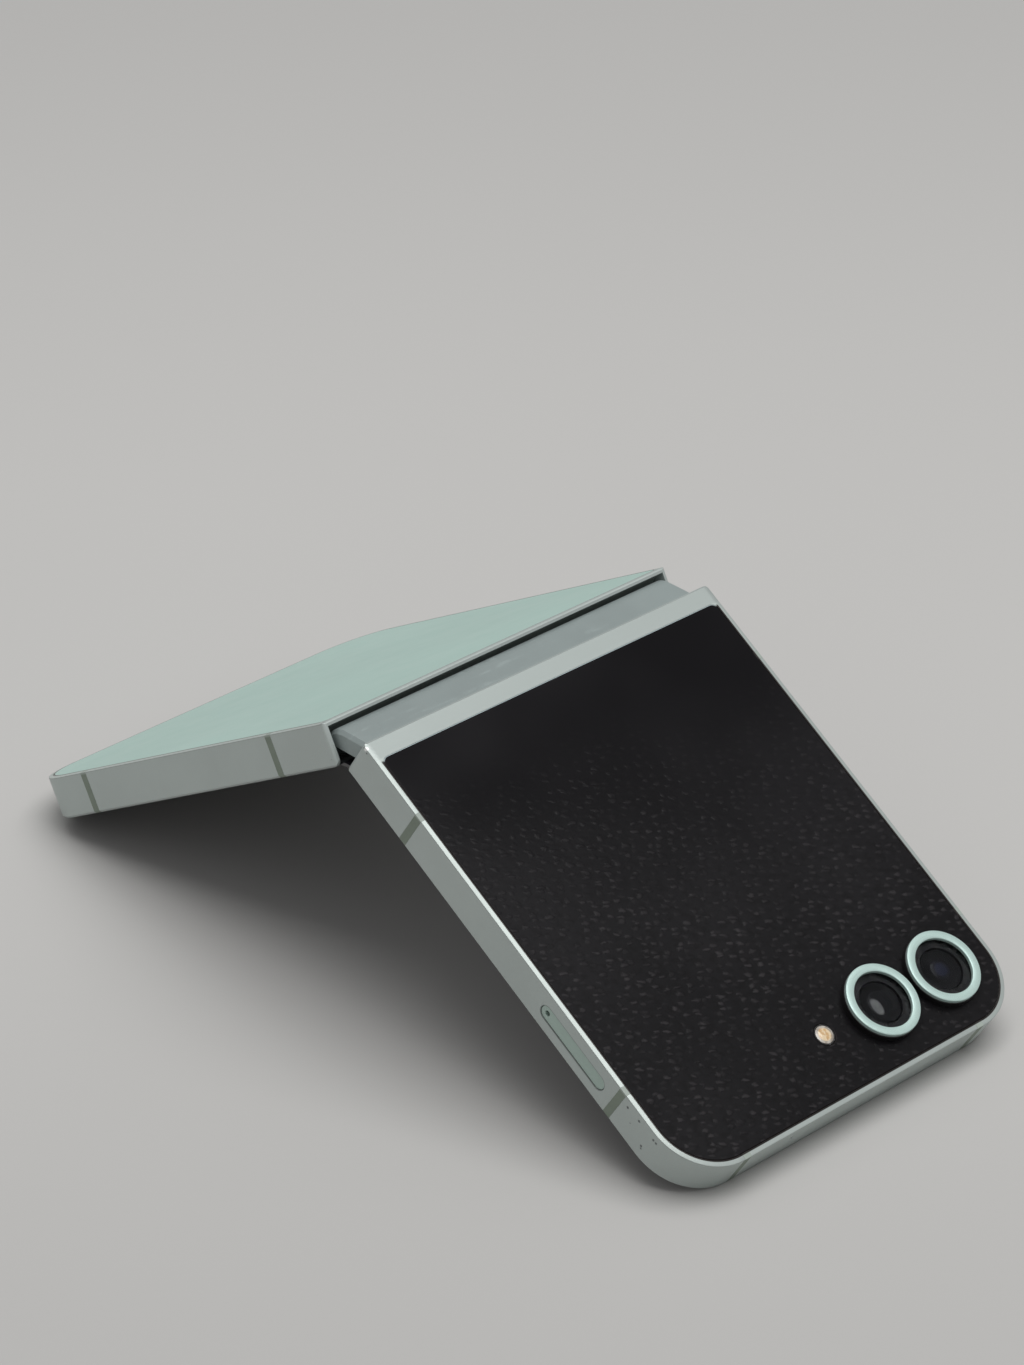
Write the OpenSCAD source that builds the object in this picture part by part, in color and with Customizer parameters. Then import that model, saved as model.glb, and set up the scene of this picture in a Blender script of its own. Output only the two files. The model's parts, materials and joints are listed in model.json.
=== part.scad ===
// Clamshell folding phone, standing like a tent with its hinge ridge up.
// Sizes in millimetres. X runs from the hinge towards the camera end, Y along the hinge,
// Z up. The origin is the middle of the footprint on the surface that the phone stands on.
// Each half is drawn flat first: u (along X) from the middle of the hinge, y along the
// hinge and v (along Z) from the screen side up to the back glass.

/* [Body] */
// Length of one half, from the middle of the hinge to its far end
half_length = 82.55; // [76:0.05:92]
// Width of the phone, along the hinge
body_width = 71.9; // [68:0.1:80]
// Thickness of one half
half_thickness = 6.9; // [6.7:0.05:8]
// Radius of the far corners, seen from the back
corner_radius = 10; // [6:0.5:14]
// Thickness of the frame's side walls
wall_thickness = 2.2; // [1.8:0.1:2.6]
// Drop of the frame's slanted edge on the back side
back_chamfer = 0.12; // [0.04:0.02:0.5]
// Width of the frame's slanted edge on the back side
back_slant = 0.85; // [0.3:0.05:0.95]
// Chamfer along the frame's edge on the screen side
screen_chamfer = 0.35; // [0.15:0.05:0.5]
// Thickness of the plate that stiffens each half behind the screen
deck_thickness = 0.9; // [0.6:0.1:1.2]

/* [Fold] */
// Angle that each half is turned down from flat, as posed
fold_angle = 31; // [0:1:40]
// Half of the seam between the halves when the phone is flat
seam_half = 0.4; // [0.2:0.05:0.6]
// How much further back the hinge end of the camera half starts
upper_setback = 0.7; // [0:0.1:0.9]
// How much further back the hinge end of the half without cameras starts
lower_setback = 1.6; // [0:0.1:1.8]
// Distance of each pivot from the middle of the hinge
pivot_x = 2.0; // [1.95:0.01:2.1]
// Height of the pivots above the screen side
pivot_v = 1.45; // [1.4:0.01:1.5]
// Outer radius of the hinge cover about each pivot
cover_radius = 3.8; // [3.75:0.05:4.4]
// Wall of the hinge cover
cover_wall = 0.55; // [0.4:0.05:0.7]
// Gap between the hinge cover and the round pockets that it turns in
cover_clearance = 0.87; // [0.1:0.01:0.9]
// Gap between each end of the hinge cover and the pockets
cover_end_gap = 0.6; // [0.1:0.05:0.8]
// Height at which the hinge cover's open side starts, above the screen side
cover_mouth_v = 2.15; // [2.1:0.05:2.6]
// Bevel round the ends of the hinge cover
cover_bevel = 0.6; // [0.2:0.1:0.8]
// Thickness of the frame's side walls beside the hinge cover
cheek_wall = 0.9; // [0.6:0.05:0.95]
// Chamfer along the lips that cover the hinge
lip_chamfer = 0.3; // [0.1:0.05:0.4]
// Rounding of the hinge ends at the screen side
end_round = 1.1; // [0.8:0.05:1.2]
// Rounding of the hinge ends at the long sides
end_corner = 0.8; // [0.3:0.05:0.85]

/* [Hinge modules] */
// Distance of each hinge module's outer face from the end of the hinge cover
module_inset = 6.2; // [3:0.2:10]
// Length of a hinge module along the hinge
module_length = 10; // [9:0.5:14]
// Thickness of a bracket's cheeks
cheek_thickness = 0.8; // [0.6:0.1:1]
// Half width of a bracket
bracket_half_width = 2.6; // [2.5:0.05:2.8]
// Face width of the synchronising gears
gear_width = 2.2; // [1.6:0.1:2.6]
// Tooth module of the synchronising gears
gear_module = 0.085; // [0.083:0.001:0.087]
// Radius of the hinge pins
pin_radius = 0.22; // [0.18:0.01:0.25]
// Running clearance round the hinge pins
pin_clearance = 0.03; // [0.02:0.005:0.05]
// Radius of the hinge arms' barrels
barrel_radius = 0.5; // [0.48:0.01:0.54]
// Thickness of the hinge arms
arm_thickness = 1.0; // [0.8:0.05:1.05]
// Width of the frame's rail that the arms are screwed to
rail_width = 4.35; // [4:0.05:5]
// Side gap between parts that turn next to each other
side_gap = 0.15; // [0.1:0.01:0.25]

/* [Glass] */
// Thickness of the cover glass and the back glass
glass_thickness = 0.5; // [0.4:0.05:0.55]
// Adhesive under the glass
glass_glue = 0.05; // [0.03:0.01:0.1]
// Distance of the glass from the frame's outer faces
glass_inset = 1.0; // [0.9:0.05:1.4]
// Start of the cover glass, from the middle of the hinge
cover_glass_start = 4.4; // [3.2:0.05:6]
// Start of the back glass, from the middle of the hinge
back_glass_start = 2.9; // [2.4:0.05:4]
// Radius of the glass corners beside the hinge
glass_hinge_radius = 1.2; // [0.6:0.1:3]

/* [Screen] */
// Thickness of the folding screen
screen_thickness = 0.55; // [0.45:0.05:0.55]
// Depth of the screen below the rim of the bezel
screen_recess = 0.25; // [0.2:0.01:0.28]
// Clearance round the screen and its bezel
screen_clearance = 0.05; // [0.03:0.01:0.08]
// Width of the frame's own rim round the screen
screen_rim = 1.0; // [0.8:0.05:1.2]
// Width of the bezel
bezel_width = 1.7; // [1.2:0.1:2.4]
// Start of the bezel, from the middle of the hinge
bezel_start = 4.6; // [4.5:0.1:6]
// Start of the stiff part of the screen, from the middle of the hinge
panel_start = 9; // [8.6:0.2:12]
// Bending radius at the middle of the screen's thickness, as posed
bend_radius = 7; // [6.6:0.1:7.5]
// Radius of the front camera's hole in the screen
punch_radius = 1.8; // [1.2:0.1:2.2]
// Distance of the front camera from the far end
punch_inset = 5.4; // [4.5:0.1:7]

/* [Rear cameras] */
// Distance of the cameras and the flash from the far end
camera_inset = 10.4; // [9.5:0.1:13]
// Distance of the outer camera from the long edge
camera_side = 10.85; // [9.9:0.05:12]
// Distance between the two cameras
camera_pitch = 13.4; // [12.6:0.1:14]
// Outer radius of the metal rings
ring_radius = 6.1; // [5.6:0.05:6.3]
// Inner radius of the metal rings
ring_bore = 4.75; // [4.4:0.05:5]
// Height of the metal rings
ring_height = 0.55; // [0.4:0.05:0.8]
// How far the camera bases stand above the cover glass
base_height = 1.15; // [0.6:0.05:1.6]
// How much wider the camera bases are than their rings
base_margin = 0.1; // [0:0.02:0.2]
// Radius of the base's neck, in the hole of the cover glass
neck_radius = 5.4; // [5.2:0.05:5.5]
// Thickness of the camera windows
window_thickness = 0.45; // [0.3:0.05:0.5]
// Width and length of a camera module's housing
camera_body = 9.4; // [8.4:0.2:10]
// Radius of a camera's lens barrel
lens_radius = 3.4; // [2.4:0.1:3.8]
// Distance of the flash from the wide camera
flash_pitch = 11.7; // [10.6:0.1:14]
// Radius of the flash lens
flash_radius = 1.75; // [1.2:0.05:2.2]

/* [Frame details] */
// Width of the antenna bands
band_width = 1.4; // [0.8:0.1:2]
// Depth of the antenna bands in the walls
band_depth = 1.5; // [0.8:0.1:1.7]
// Places of the side bands on the camera half, from the middle of the hinge
upper_band_near = 15.05; // [12:0.05:18]
// Place of the far side bands on the camera half
upper_band_far = 65.35; // [64.9:0.05:70]
// Place of the near side bands on the other half
lower_band_near = 16.1; // [14:0.05:20]
// Place of the far side bands on the other half
lower_band_far = 66; // [64.9:0.05:71.5]
// Place of the end bands, from the middle of the phone
end_band_y = 25; // [23:0.1:25]
// Radius of the microphone holes
mic_radius = 0.35; // [0.25:0.05:0.5]
// Place of the upper microphone across the phone
mic_y = -14.7; // [-20:0.1:-10]

/* [Card tray] */
// Middle of the card tray, from the middle of the hinge
tray_u = 55.2; // [50:0.1:56]
// Middle of the card tray above the screen side
tray_v = 3.4; // [3.3:0.05:3.6]
// Length of the tray's face
tray_length = 14.9; // [14.8:0.1:16]
// Height of the tray's face
tray_height = 2.4; // [2.2:0.05:2.6]
// How far the tray's face lies below the wall
tray_recess = 0.12; // [0.02:0.02:0.3]
// Length of the tray's drawer, across the phone
drawer_length = 18; // [16:0.5:22]
// Thickness of the tray's drawer
drawer_thickness = 0.9; // [0.8:0.05:1.1]
// Radius of the release hole
release_radius = 0.45; // [0.35:0.05:0.5]

/* [Keys] */
// Middle of the power key, from the middle of the hinge
power_u = 31; // [26:0.5:34]
// Length of the power key
power_length = 12.6; // [9:0.2:14]
// Middle of the volume key
volume_u = 53; // [51:0.5:54]
// Length of the volume key
volume_length = 20.5; // [16:0.5:21]
// Height of the keys
key_height = 2.3; // [1.8:0.1:2.6]
// How far the volume key stands out of the wall
volume_proud = 0.2; // [0:0.05:0.3]
// Travel of the keys
key_travel = 0.25; // [0.15:0.05:0.35]
// Gap round the keys and the tray
key_gap = 0.05; // [0.04:0.01:0.12]

/* [Charging port] */
// Width of the port's mouth
port_width = 8.94; // [8.6:0.02:9.2]
// Height of the port's mouth
port_height = 3.16; // [3:0.02:3.3]
// Depth of the port's shell
port_depth = 7.3; // [6:0.1:9]
// Wall of the port's shell
port_wall = 0.3; // [0.2:0.05:0.35]
// Thickness of the port's tongue
tongue_thickness = 0.7; // [0.6:0.05:0.8]
// Radius of the loudspeaker holes
speaker_hole_radius = 0.6; // [0.4:0.05:0.8]
// Distance between the loudspeaker holes
speaker_hole_pitch = 1.9; // [1.7:0.05:2.1]
// Number of loudspeaker holes
speaker_holes = 5; // [3:1:5]

/* [Inside] */
// Length of the upper battery, along X
upper_battery_length = 33; // [26:0.5:34]
// Width of the upper battery
upper_battery_width = 51; // [40:0.5:54]
// Length of the lower battery
lower_battery_length = 45; // [38:0.5:47]
// Width of the lower battery
lower_battery_width = 50; // [40:0.5:60]
// Thickness of both batteries
battery_thickness = 3.4; // [3:0.1:3.5]
// Clearance between the inner parts
inner_gap = 0.15; // [0.1:0.05:0.3]
// Thickness of the circuit boards
board_thickness = 0.6; // [0.5:0.05:0.7]
// Thickness of the cover screen's panel
cover_panel_thickness = 0.7; // [0.5:0.05:0.8]
// Outer radius of the charging coil
coil_radius = 20; // [15:0.5:22]
// Inner radius of the charging coil
coil_bore = 9; // [6:0.5:12]
// Thickness of the charging coil
coil_thickness = 0.35; // [0.25:0.05:0.4]
// Radius of the small screws
screw_radius = 0.5; // [0.4:0.05:0.6]
// Radius of the small screws' heads
screw_head_radius = 1.0; // [0.9:0.05:1.2]

/* [Hidden] */
$fn = 64;

half_width = body_width / 2;
cut = 1;

// Hinge cover and the pockets that it turns in
cover_top_v = pivot_v + cover_radius;
pocket_radius = cover_radius + cover_clearance;
cover_half_length = half_width - cheek_wall - cover_end_gap;
rail_end = pivot_x + pocket_radius + rail_width;

// Height of the pivots above the surface: a far edge of the screen side touches it
foot_u = half_length - screen_chamfer;
foot_drop_flat = (foot_u - pivot_x) * sin(fold_angle) + pivot_v * cos(fold_angle);
foot_drop_end = (half_length - pivot_x) * sin(fold_angle)
    + (pivot_v - screen_chamfer) * cos(fold_angle);
pivot_z = max(foot_drop_flat, foot_drop_end);

// Levels inside a half, from the screen side up
screen_back_v = screen_recess + screen_thickness;
deck_v = screen_back_v + screen_clearance;
deck_top_v = deck_v + deck_thickness;
glass_v = half_thickness - glass_thickness;
seat_v = glass_v - glass_glue;
board_v = deck_top_v + inner_gap;
board_top_v = board_v + board_thickness;
inner_start = rail_end + inner_gap;
inner_half_width = half_width - wall_thickness - inner_gap;
inner_end = half_length - wall_thickness - inner_gap;

// Gears: the arm gears turn on the pivots, the idlers mesh with them and with each other
arm_teeth = 12;
idler_teeth = 24;
arm_gear_r = gear_module * arm_teeth / 2;
idler_r = gear_module * idler_teeth / 2;
idler_drop = sqrt(pow(arm_gear_r + idler_r, 2) - pow(pivot_x - idler_r, 2));
idler_v = pivot_v + idler_drop;
tooth_height = 0.8 * gear_module;
mesh_backlash = 0.9;
arm_to_idler = 180 - atan2(idler_drop, pivot_x - idler_r);
idler_bore = pin_radius + pin_clearance;

// Places along the hinge inside a module, from its outer face
module_start = cover_half_length - module_inset;
gear_w = cheek_thickness + side_gap;
arm_w = gear_w + gear_width + side_gap;
arm_length = module_length - cheek_thickness - side_gap - arm_w;
arm_reach = rail_end - 0.6;
arm_screw_u = arm_reach - 1.2;
arm_screw_length = 2.6;
arm_recess_gap = 0.1;
bridge_v = idler_v + idler_r + 0.25;
bridge_top = cover_top_v - cover_wall;
cover_end_wall = 0.8;

// Cameras
camera_u = half_length - camera_inset;
ultrawide_y = half_width - camera_side;
wide_y = ultrawide_y - camera_pitch;
flash_y = wide_y - flash_pitch;
base_radius = ring_radius + base_margin;
base_top_v = half_thickness + base_height;
window_radius = ring_bore + 0.25;
neck_gap = 0.1;
barrel_top_v = base_top_v - window_thickness - 0.35;
camera_body_top_v = seat_v - 0.5;
lens_gap = 0.2;

// Card tray and keys
slot_height = tray_height + 2 * key_gap;
slot_length = tray_length + 2 * key_gap;
plate_thickness = 1.0;
drawer_width = tray_length - 2.2;
reader_wall = 0.3;
reader_gap = 0.1;
key_thickness = 1.2;
key_flange = 0.5;
switch_depth = 0.8;

// Charging port, and the holes beside it
port_v = half_thickness / 2;
speaker_near_y = 7.5;
speaker_width = 9;
speaker_length = 14;
first_speaker_hole_y = 8.5;
lower_mic_y = -8.2;
mic_v = 4.4;

// Boards, and the screws that hold them
battery_margin = 1.15;
upper_board_start = inner_start + upper_battery_length + battery_margin;
lower_board_start = inner_start + lower_battery_length + 2 * battery_margin;
key_side_gap = 2.3;
board_key_edge = inner_half_width - key_side_gap;
screw_head_height = 0.35;
screw_hole_gap = 0.05;
edge_screw = 1.9;
side_screw_inset = 5.6;
end_screw_inset = 4;
end_screw_side = 10.6;
upper_screw_places = [
    [upper_board_start + edge_screw, -11.6],
    [upper_board_start + edge_screw, board_key_edge - 1.5],
    [tray_u + 11.8, side_screw_inset - inner_half_width],
    [inner_end - end_screw_inset, end_screw_side - inner_half_width]
];
lower_screw_places = [
    [lower_board_start + edge_screw, inner_half_width - side_screw_inset],
    [lower_board_start + edge_screw, side_screw_inset - inner_half_width],
    [inner_end - end_screw_inset, end_screw_side - inner_half_width],
    [inner_end - 11.6, 6]
];

// Other inner parts
upper_battery_side = 11;
can_height = 2.1;
can_start = 4.5;
can_camera_gap = 6;
can_edges = [[-10, 6], [8, 27]];
magnet_near_y = 17.2;
magnet_length = 6.8;
magnet_lift = 0.8;
magnet_width = 1.8;
earpiece_near_y = 2.6;
earpiece_length = 6.4;
earpiece_depth = 2.8;
end_part_gap = 0.4;
front_camera_box = 4.4;
motor_near_y = 8;
motor_length = 13;
motor_width = 6;
motor_from_end = 5;
motor_height = 3.05;
switch_width = 2.4;
volume_switch_offset = 6;
tray_window_side = 2.15;
tray_window_end = 2.8;
tray_floor = 0.15;

// Colours
alloy = [0.66, 0.71, 0.69];
alloy_bright = [0.75, 0.82, 0.80];
band_grey = [0.47, 0.51, 0.46];
black_glass = [0.10, 0.10, 0.10];
mint = [0.66, 0.76, 0.72];
steel = [0.55, 0.57, 0.58];
near_black = [0.06, 0.06, 0.07];
board_green = [0.08, 0.25, 0.16];
cell_grey = [0.25, 0.26, 0.28];
copper = [0.72, 0.45, 0.25];
gold = [0.80, 0.68, 0.40];

// Placing: a half drawn flat is turned down about its own pivot
module upper_place() {
    translate([pivot_x, 0, pivot_z])
        rotate([0, fold_angle, 0])
            translate([-pivot_x, 0, -pivot_v])
                children();
}

module lower_place() {
    mirror([1, 0, 0]) upper_place() children();
}

// The hinge cover's own parts are drawn at their height v above the flat screen side
module hinge_place() {
    translate([0, 0, pivot_z - pivot_v]) children();
}

// A hinge module is drawn along +Y from its outer face; the rear one is its mirror image
module front_module() {
    translate([0, -module_start, 0]) children();
}

module rear_module() {
    mirror([0, 1, 0]) front_module() children();
}

// Plane figures
module corner_rect(u0, u1, y_half, r_near, r_far) {
    translate([u0 + r_near, -y_half]) square([u1 - u0 - r_near - r_far, 2 * y_half]);
    translate([u0, -y_half + r_near]) square([r_near + 0.01, 2 * (y_half - r_near)]);
    translate([u1 - r_far - 0.01, -y_half + r_far]) square([r_far + 0.01, 2 * (y_half - r_far)]);
    for (s = [-1, 1]) {
        translate([u0 + r_near, s * (y_half - r_near)]) circle(r_near);
        translate([u1 - r_far, s * (y_half - r_far)]) circle(r_far);
    }
}

// Outline of a half, set in from its outer faces
module half_plan(inset, u0 = 0) {
    r = corner_radius - inset;
    y_half = half_width - inset;
    end_u = half_length - inset;
    translate([u0, -y_half]) square([end_u - r - u0, 2 * y_half]);
    translate([end_u - r - 0.01, -y_half + r]) square([r + 0.01, 2 * (y_half - r)]);
    for (s = [-1, 1])
        translate([end_u - r, s * (y_half - r)]) circle(r);
}

module glass_plan(start, inset) {
    corner_rect(start, half_length - inset, half_width - inset,
        glass_hinge_radius, corner_radius - inset);
}

module slab(v0, v1) {
    translate([0, 0, v0]) linear_extrude(v1 - v0) children();
}

// A box from low to high corners
module block(low, high) {
    translate(low) cube(high - low);
}

// A round bar along Y, given by the middle of its circle
module bar_y(x, z, y0, y1, r) {
    translate([x, y1, z]) rotate([90, 0, 0]) cylinder(r = r, h = y1 - y0);
}

// A round-ended slot along X, cut or filled along Y
module slot_y(u, v, length, height, y0, y1) {
    straight = length - height;
    block([u - straight / 2, y0, v - height / 2], [u + straight / 2, y1, v + height / 2]);
    for (s = [-1, 1])
        bar_y(u + s * straight / 2, v, y0, y1, height / 2);
}

// The same along Y, cut or filled along X
module slot_x(y, v, length, height, x0, x1) {
    translate([0, y, 0]) rotate([0, 0, 90]) slot_y(0, v, length, height, -x1, -x0);
}

// Section of the frame's wall: x runs in from the outer face, y is v
module wall_section(depth = wall_thickness) {
    polygon([
        [0, screen_chamfer], [screen_chamfer, 0], [depth, 0],
        [depth, half_thickness], [back_slant, half_thickness],
        [0, half_thickness - back_chamfer]
    ]);
}

// The wall swept round a half: two sides, two round corners and the far end
module wall_ring() {
    side = half_length - corner_radius;
    for (s = [0, 1]) mirror([0, s, 0]) {
        translate([0, -half_width, 0])
            rotate([90, 0, 90])
                linear_extrude(side) wall_section();
        translate([half_length - corner_radius, -half_width + corner_radius, 0])
            rotate([0, 0, -90])
                rotate_extrude(angle = 90, $fn = 96)
                    translate([corner_radius, 0]) mirror([1, 0]) wall_section();
    }
    translate([half_length, half_width - corner_radius, 0])
        mirror([1, 0, 0]) rotate([90, 0, 0])
            linear_extrude(2 * (half_width - corner_radius)) wall_section();
}

// Everything that the hinge cover and the arms sweep in a half
module cover_pocket() {
    y = half_width - cheek_wall;
    translate([0, y, 0]) rotate([90, 0, 0]) linear_extrude(2 * y) {
        translate([pivot_x, pivot_v]) circle(pocket_radius);
        translate([-cut, -cut]) square([pivot_x + cut, pivot_v + pocket_radius + cut]);
        translate([-cut, -cut]) square([pivot_x + pocket_radius + cut, pivot_v + cut]);
    }
}

// Trims at the hinge end: its face at end_u, a round edge at the screen side, a chamfer along
// the lip and round corners at the long sides
module hinge_end_trim(end_u) {
    translate([0, half_width + cut, 0]) rotate([90, 0, 0])
        linear_extrude(2 * (half_width + cut)) {
            translate([-cut, -cut]) square([end_u + cut, half_thickness + 2 * cut]);
            difference() {
                translate([-cut, -cut]) square([end_u + end_round + cut, end_round + cut]);
                translate([end_u + end_round, end_round]) circle(end_round);
            }
            polygon([
                [-cut, half_thickness + cut], [-cut, half_thickness - lip_chamfer],
                [end_u, half_thickness - lip_chamfer],
                [end_u + lip_chamfer, half_thickness],
                [end_u + lip_chamfer, half_thickness + cut]
            ]);
        }
    for (s = [0, 1]) mirror([0, s, 0])
        slab(-cut, half_thickness + cut) difference() {
            translate([-cut, -half_width - cut])
                square([end_u + end_corner + cut, end_corner + cut]);
            translate([end_u + end_corner, -half_width + end_corner]) circle(end_corner);
        }
}

// Antenna bands: strips of the wall at the given places, as cutting boxes
module band_boxes(near_u, far_u) {
    for (s = [0, 1]) mirror([0, s, 0]) {
        for (u = [near_u, far_u])
            block([u - band_width / 2, -half_width - cut, -cut],
                [u + band_width / 2, -half_width + band_depth, half_thickness + cut]);
        block([half_length - band_depth, end_band_y - band_width / 2, -cut],
            [half_length + cut, end_band_y + band_width / 2, half_thickness + cut]);
    }
}

module bands(near_u, far_u, glass_start) {
    difference() {
        intersection() {
            wall_ring();
            band_boxes(near_u, far_u);
        }
        screen_tray();
        glass_seat(glass_start);
    }
}

module screen_tray() {
    slab(-cut, deck_v) half_plan(screen_rim, -cut);
}

module glass_seat(glass_start) {
    slab(seat_v, half_thickness + cut) glass_plan(glass_start, glass_inset - screen_clearance);
}

// Recesses for the arms of one half, open to the screen side
module arm_recesses() {
    for (s = [0, 1]) mirror([0, s, 0]) front_module() {
        block([pivot_x, arm_w - arm_recess_gap, -cut],
            [arm_reach + arm_recess_gap, arm_w + arm_length + arm_recess_gap,
            pivot_v + arm_thickness / 2 + 0.02]);
        for (w = arm_screw_places())
            translate([arm_screw_u, w, 0]) cylinder(r = screw_radius, h = 4);
    }
}

function arm_screw_places() = [arm_w + arm_length * 0.25, arm_w + arm_length * 0.75];

// Frame of a half before its own openings: walls, deck and the rail beside the hinge
module half_frame(glass_start, end_u) {
    rail_half_length = half_width - back_slant - 0.1;
    difference() {
        union() {
            wall_ring();
            slab(0, deck_top_v) half_plan(wall_thickness - 0.7, rail_end - 0.7);
            block([0, -rail_half_length, 0],
                [rail_end, rail_half_length, half_thickness]);
        }
        screen_tray();
        glass_seat(glass_start);
        cover_pocket();
        hinge_end_trim(end_u);
        arm_recesses();
    }
}

// A screw hole down into the deck
module deck_hole(u, y) {
    translate([u, y, deck_v - cut]) cylinder(r = screw_radius, h = deck_thickness + 2 * cut);
}

// Camera half
module upper_frame() {
    color(alloy) upper_place() difference() {
        half_frame(cover_glass_start, seam_half + upper_setback);
        band_boxes(upper_band_near, upper_band_far);
        slot_y(tray_u, tray_v, slot_length, slot_height,
            -half_width - cut, -half_width + wall_thickness + cut);
        key_opening(power_u, power_length);
        key_opening(volume_u, volume_length);
        end_hole(mic_y, mic_v, mic_radius);
        translate([half_length - punch_inset, 0, -cut])
            cylinder(r = punch_radius + inner_gap, h = deck_top_v + 2 * cut);
        // Sound slot of the earpiece
        block([inner_end - earpiece_depth, 1 - earpiece_near_y - earpiece_length, 0],
            [inner_end - earpiece_depth + 0.8, -1 - earpiece_near_y, deck_top_v + cut]);
        for (p = upper_screw_places) deck_hole(p[0], p[1]);
    }
}

module key_opening(u, length) {
    slot_y(u, tray_v, length + 2 * key_gap, key_height + 2 * key_gap,
        half_width - wall_thickness - cut, half_width + cut);
}

module upper_antenna_bands() {
    color(band_grey) upper_place() bands(upper_band_near, upper_band_far, cover_glass_start);
}

module cover_glass() {
    color(black_glass) upper_place() difference() {
        slab(glass_v, half_thickness) glass_plan(cover_glass_start, glass_inset);
        for (y = [wide_y, ultrawide_y])
            translate([camera_u, y, glass_v - cut])
                cylinder(r = neck_radius + neck_gap, h = glass_thickness + 2 * cut);
        translate([camera_u, flash_y, glass_v - cut])
            cylinder(r = flash_radius + key_gap, h = glass_thickness + 2 * cut);
    }
}

module cover_screen() {
    end = camera_u - neck_radius - 3;
    color(near_black) upper_place()
        slab(seat_v - cover_panel_thickness, seat_v)
            corner_rect(inner_start, end, inner_half_width - 0.75, 2, 2);
}

module camera_base(y) {
    color(near_black) upper_place() translate([camera_u, y, 0]) difference() {
        union() {
            translate([0, 0, half_thickness]) cylinder(r = base_radius, h = base_height);
            translate([0, 0, seat_v]) cylinder(r = neck_radius, h = half_thickness - seat_v);
        }
        translate([0, 0, seat_v - cut])
            cylinder(r = lens_radius + lens_gap, h = base_height + half_thickness);
        translate([0, 0, base_top_v - window_thickness])
            cylinder(r = window_radius, h = window_thickness + cut);
    }
}

module camera_base_wide() camera_base(wide_y);
module camera_base_ultrawide() camera_base(ultrawide_y);

module camera_ring(y) {
    edge = 0.12;
    color(alloy_bright) upper_place() translate([camera_u, y, base_top_v])
        rotate_extrude($fn = 96)
            polygon([
                [ring_bore, 0], [ring_radius, 0], [ring_radius, ring_height - edge],
                [ring_radius - edge, ring_height], [ring_bore + edge, ring_height],
                [ring_bore, ring_height - edge]
            ]);
}

module camera_ring_wide() camera_ring(wide_y);
module camera_ring_ultrawide() camera_ring(ultrawide_y);

module camera_window(y) {
    color(black_glass) upper_place()
        translate([camera_u, y, base_top_v - window_thickness])
            cylinder(r = window_radius - 0.02, h = window_thickness);
}

module camera_window_wide() camera_window(wide_y);
module camera_window_ultrawide() camera_window(ultrawide_y);

module camera_module(y) {
    half = camera_body / 2;
    color(near_black) upper_place() {
        block([camera_u - half, y - half, board_top_v + inner_gap],
            [camera_u + half, y + half, camera_body_top_v]);
        translate([camera_u, y, camera_body_top_v - 0.1])
            cylinder(r = lens_radius, h = barrel_top_v - camera_body_top_v + 0.1);
    }
}

module camera_module_wide() camera_module(wide_y);
module camera_module_ultrawide() camera_module(ultrawide_y);

module flash_lens() {
    color([0.95, 0.88, 0.72]) upper_place() translate([camera_u, flash_y, glass_v - 0.4])
        cylinder(r = flash_radius, h = glass_thickness + 0.4);
}

module upper_battery() {
    y1 = inner_half_width - upper_battery_side;
    color(cell_grey) upper_place()
        block([inner_start, y1 - upper_battery_width, board_v],
            [inner_start + upper_battery_length, y1, board_v + battery_thickness]);
}

// Board with two shield cans; it leaves room for the keys, the front camera and the earpiece
module main_board() {
    start = upper_board_start;
    can_top = board_top_v + can_height;
    end_bay = inner_end - earpiece_depth - end_part_gap;
    bay_half = earpiece_near_y + earpiece_length + 1;
    color(board_green) upper_place() difference() {
        union() {
            intersection() {
                slab(board_v, board_top_v) half_plan(wall_thickness + inner_gap, start);
                block([start, -half_width, 0], [inner_end, half_width, half_thickness]);
            }
            for (e = can_edges)
                block([start + can_start, e[0], board_top_v - 0.1],
                    [camera_u - can_camera_gap, e[1], can_top]);
        }
        block([start - cut, board_key_edge, 0],
            [volume_u + volume_length / 2 + 2, half_width, half_thickness]);
        translate([half_length - punch_inset, 0, 0])
            cylinder(r = front_camera_box * 0.75, h = half_thickness);
        screw_holes(upper_screw_places);
        block([end_bay, -bay_half, 0], [half_length, bay_half, half_thickness]);
    }
}

// Clear holes for the board screws
module screw_holes(places) {
    for (p = places) translate([p[0], p[1], 0])
        cylinder(r = screw_radius + screw_hole_gap, h = half_thickness);
}

// Sleeve that holds the card tray and carries the contacts
module card_reader() {
    y0 = -half_width + wall_thickness + inner_gap;
    half = drawer_width / 2 + reader_gap;
    v0 = tray_v - drawer_thickness / 2 - reader_gap;
    v1 = tray_v + drawer_thickness / 2 + reader_gap;
    y1 = -half_width + tray_recess + plate_thickness + drawer_length + reader_gap;
    color(steel) upper_place() difference() {
        block([tray_u - half - reader_wall, y0, v0 - reader_wall],
            [tray_u + half + reader_wall, y1 + reader_wall, v1 + reader_wall]);
        block([tray_u - half, y0 - cut, v0], [tray_u + half, y1, v1]);
    }
}

module earpiece() {
    u1 = inner_end - end_part_gap / 2;
    color(near_black) upper_place()
        block([u1 - earpiece_depth, -earpiece_near_y - earpiece_length, board_v],
            [u1, -earpiece_near_y, board_v + 2.6]);
}

module front_camera() {
    half = front_camera_box / 2;
    color(near_black) upper_place() translate([half_length - punch_inset, 0, 0]) {
        translate([0, 0, screen_recess]) cylinder(r = punch_radius - 0.1, h = deck_top_v);
        block([-half, -half, deck_top_v + 0.1], [half, half, deck_top_v + 2.5]);
    }
}

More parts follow.
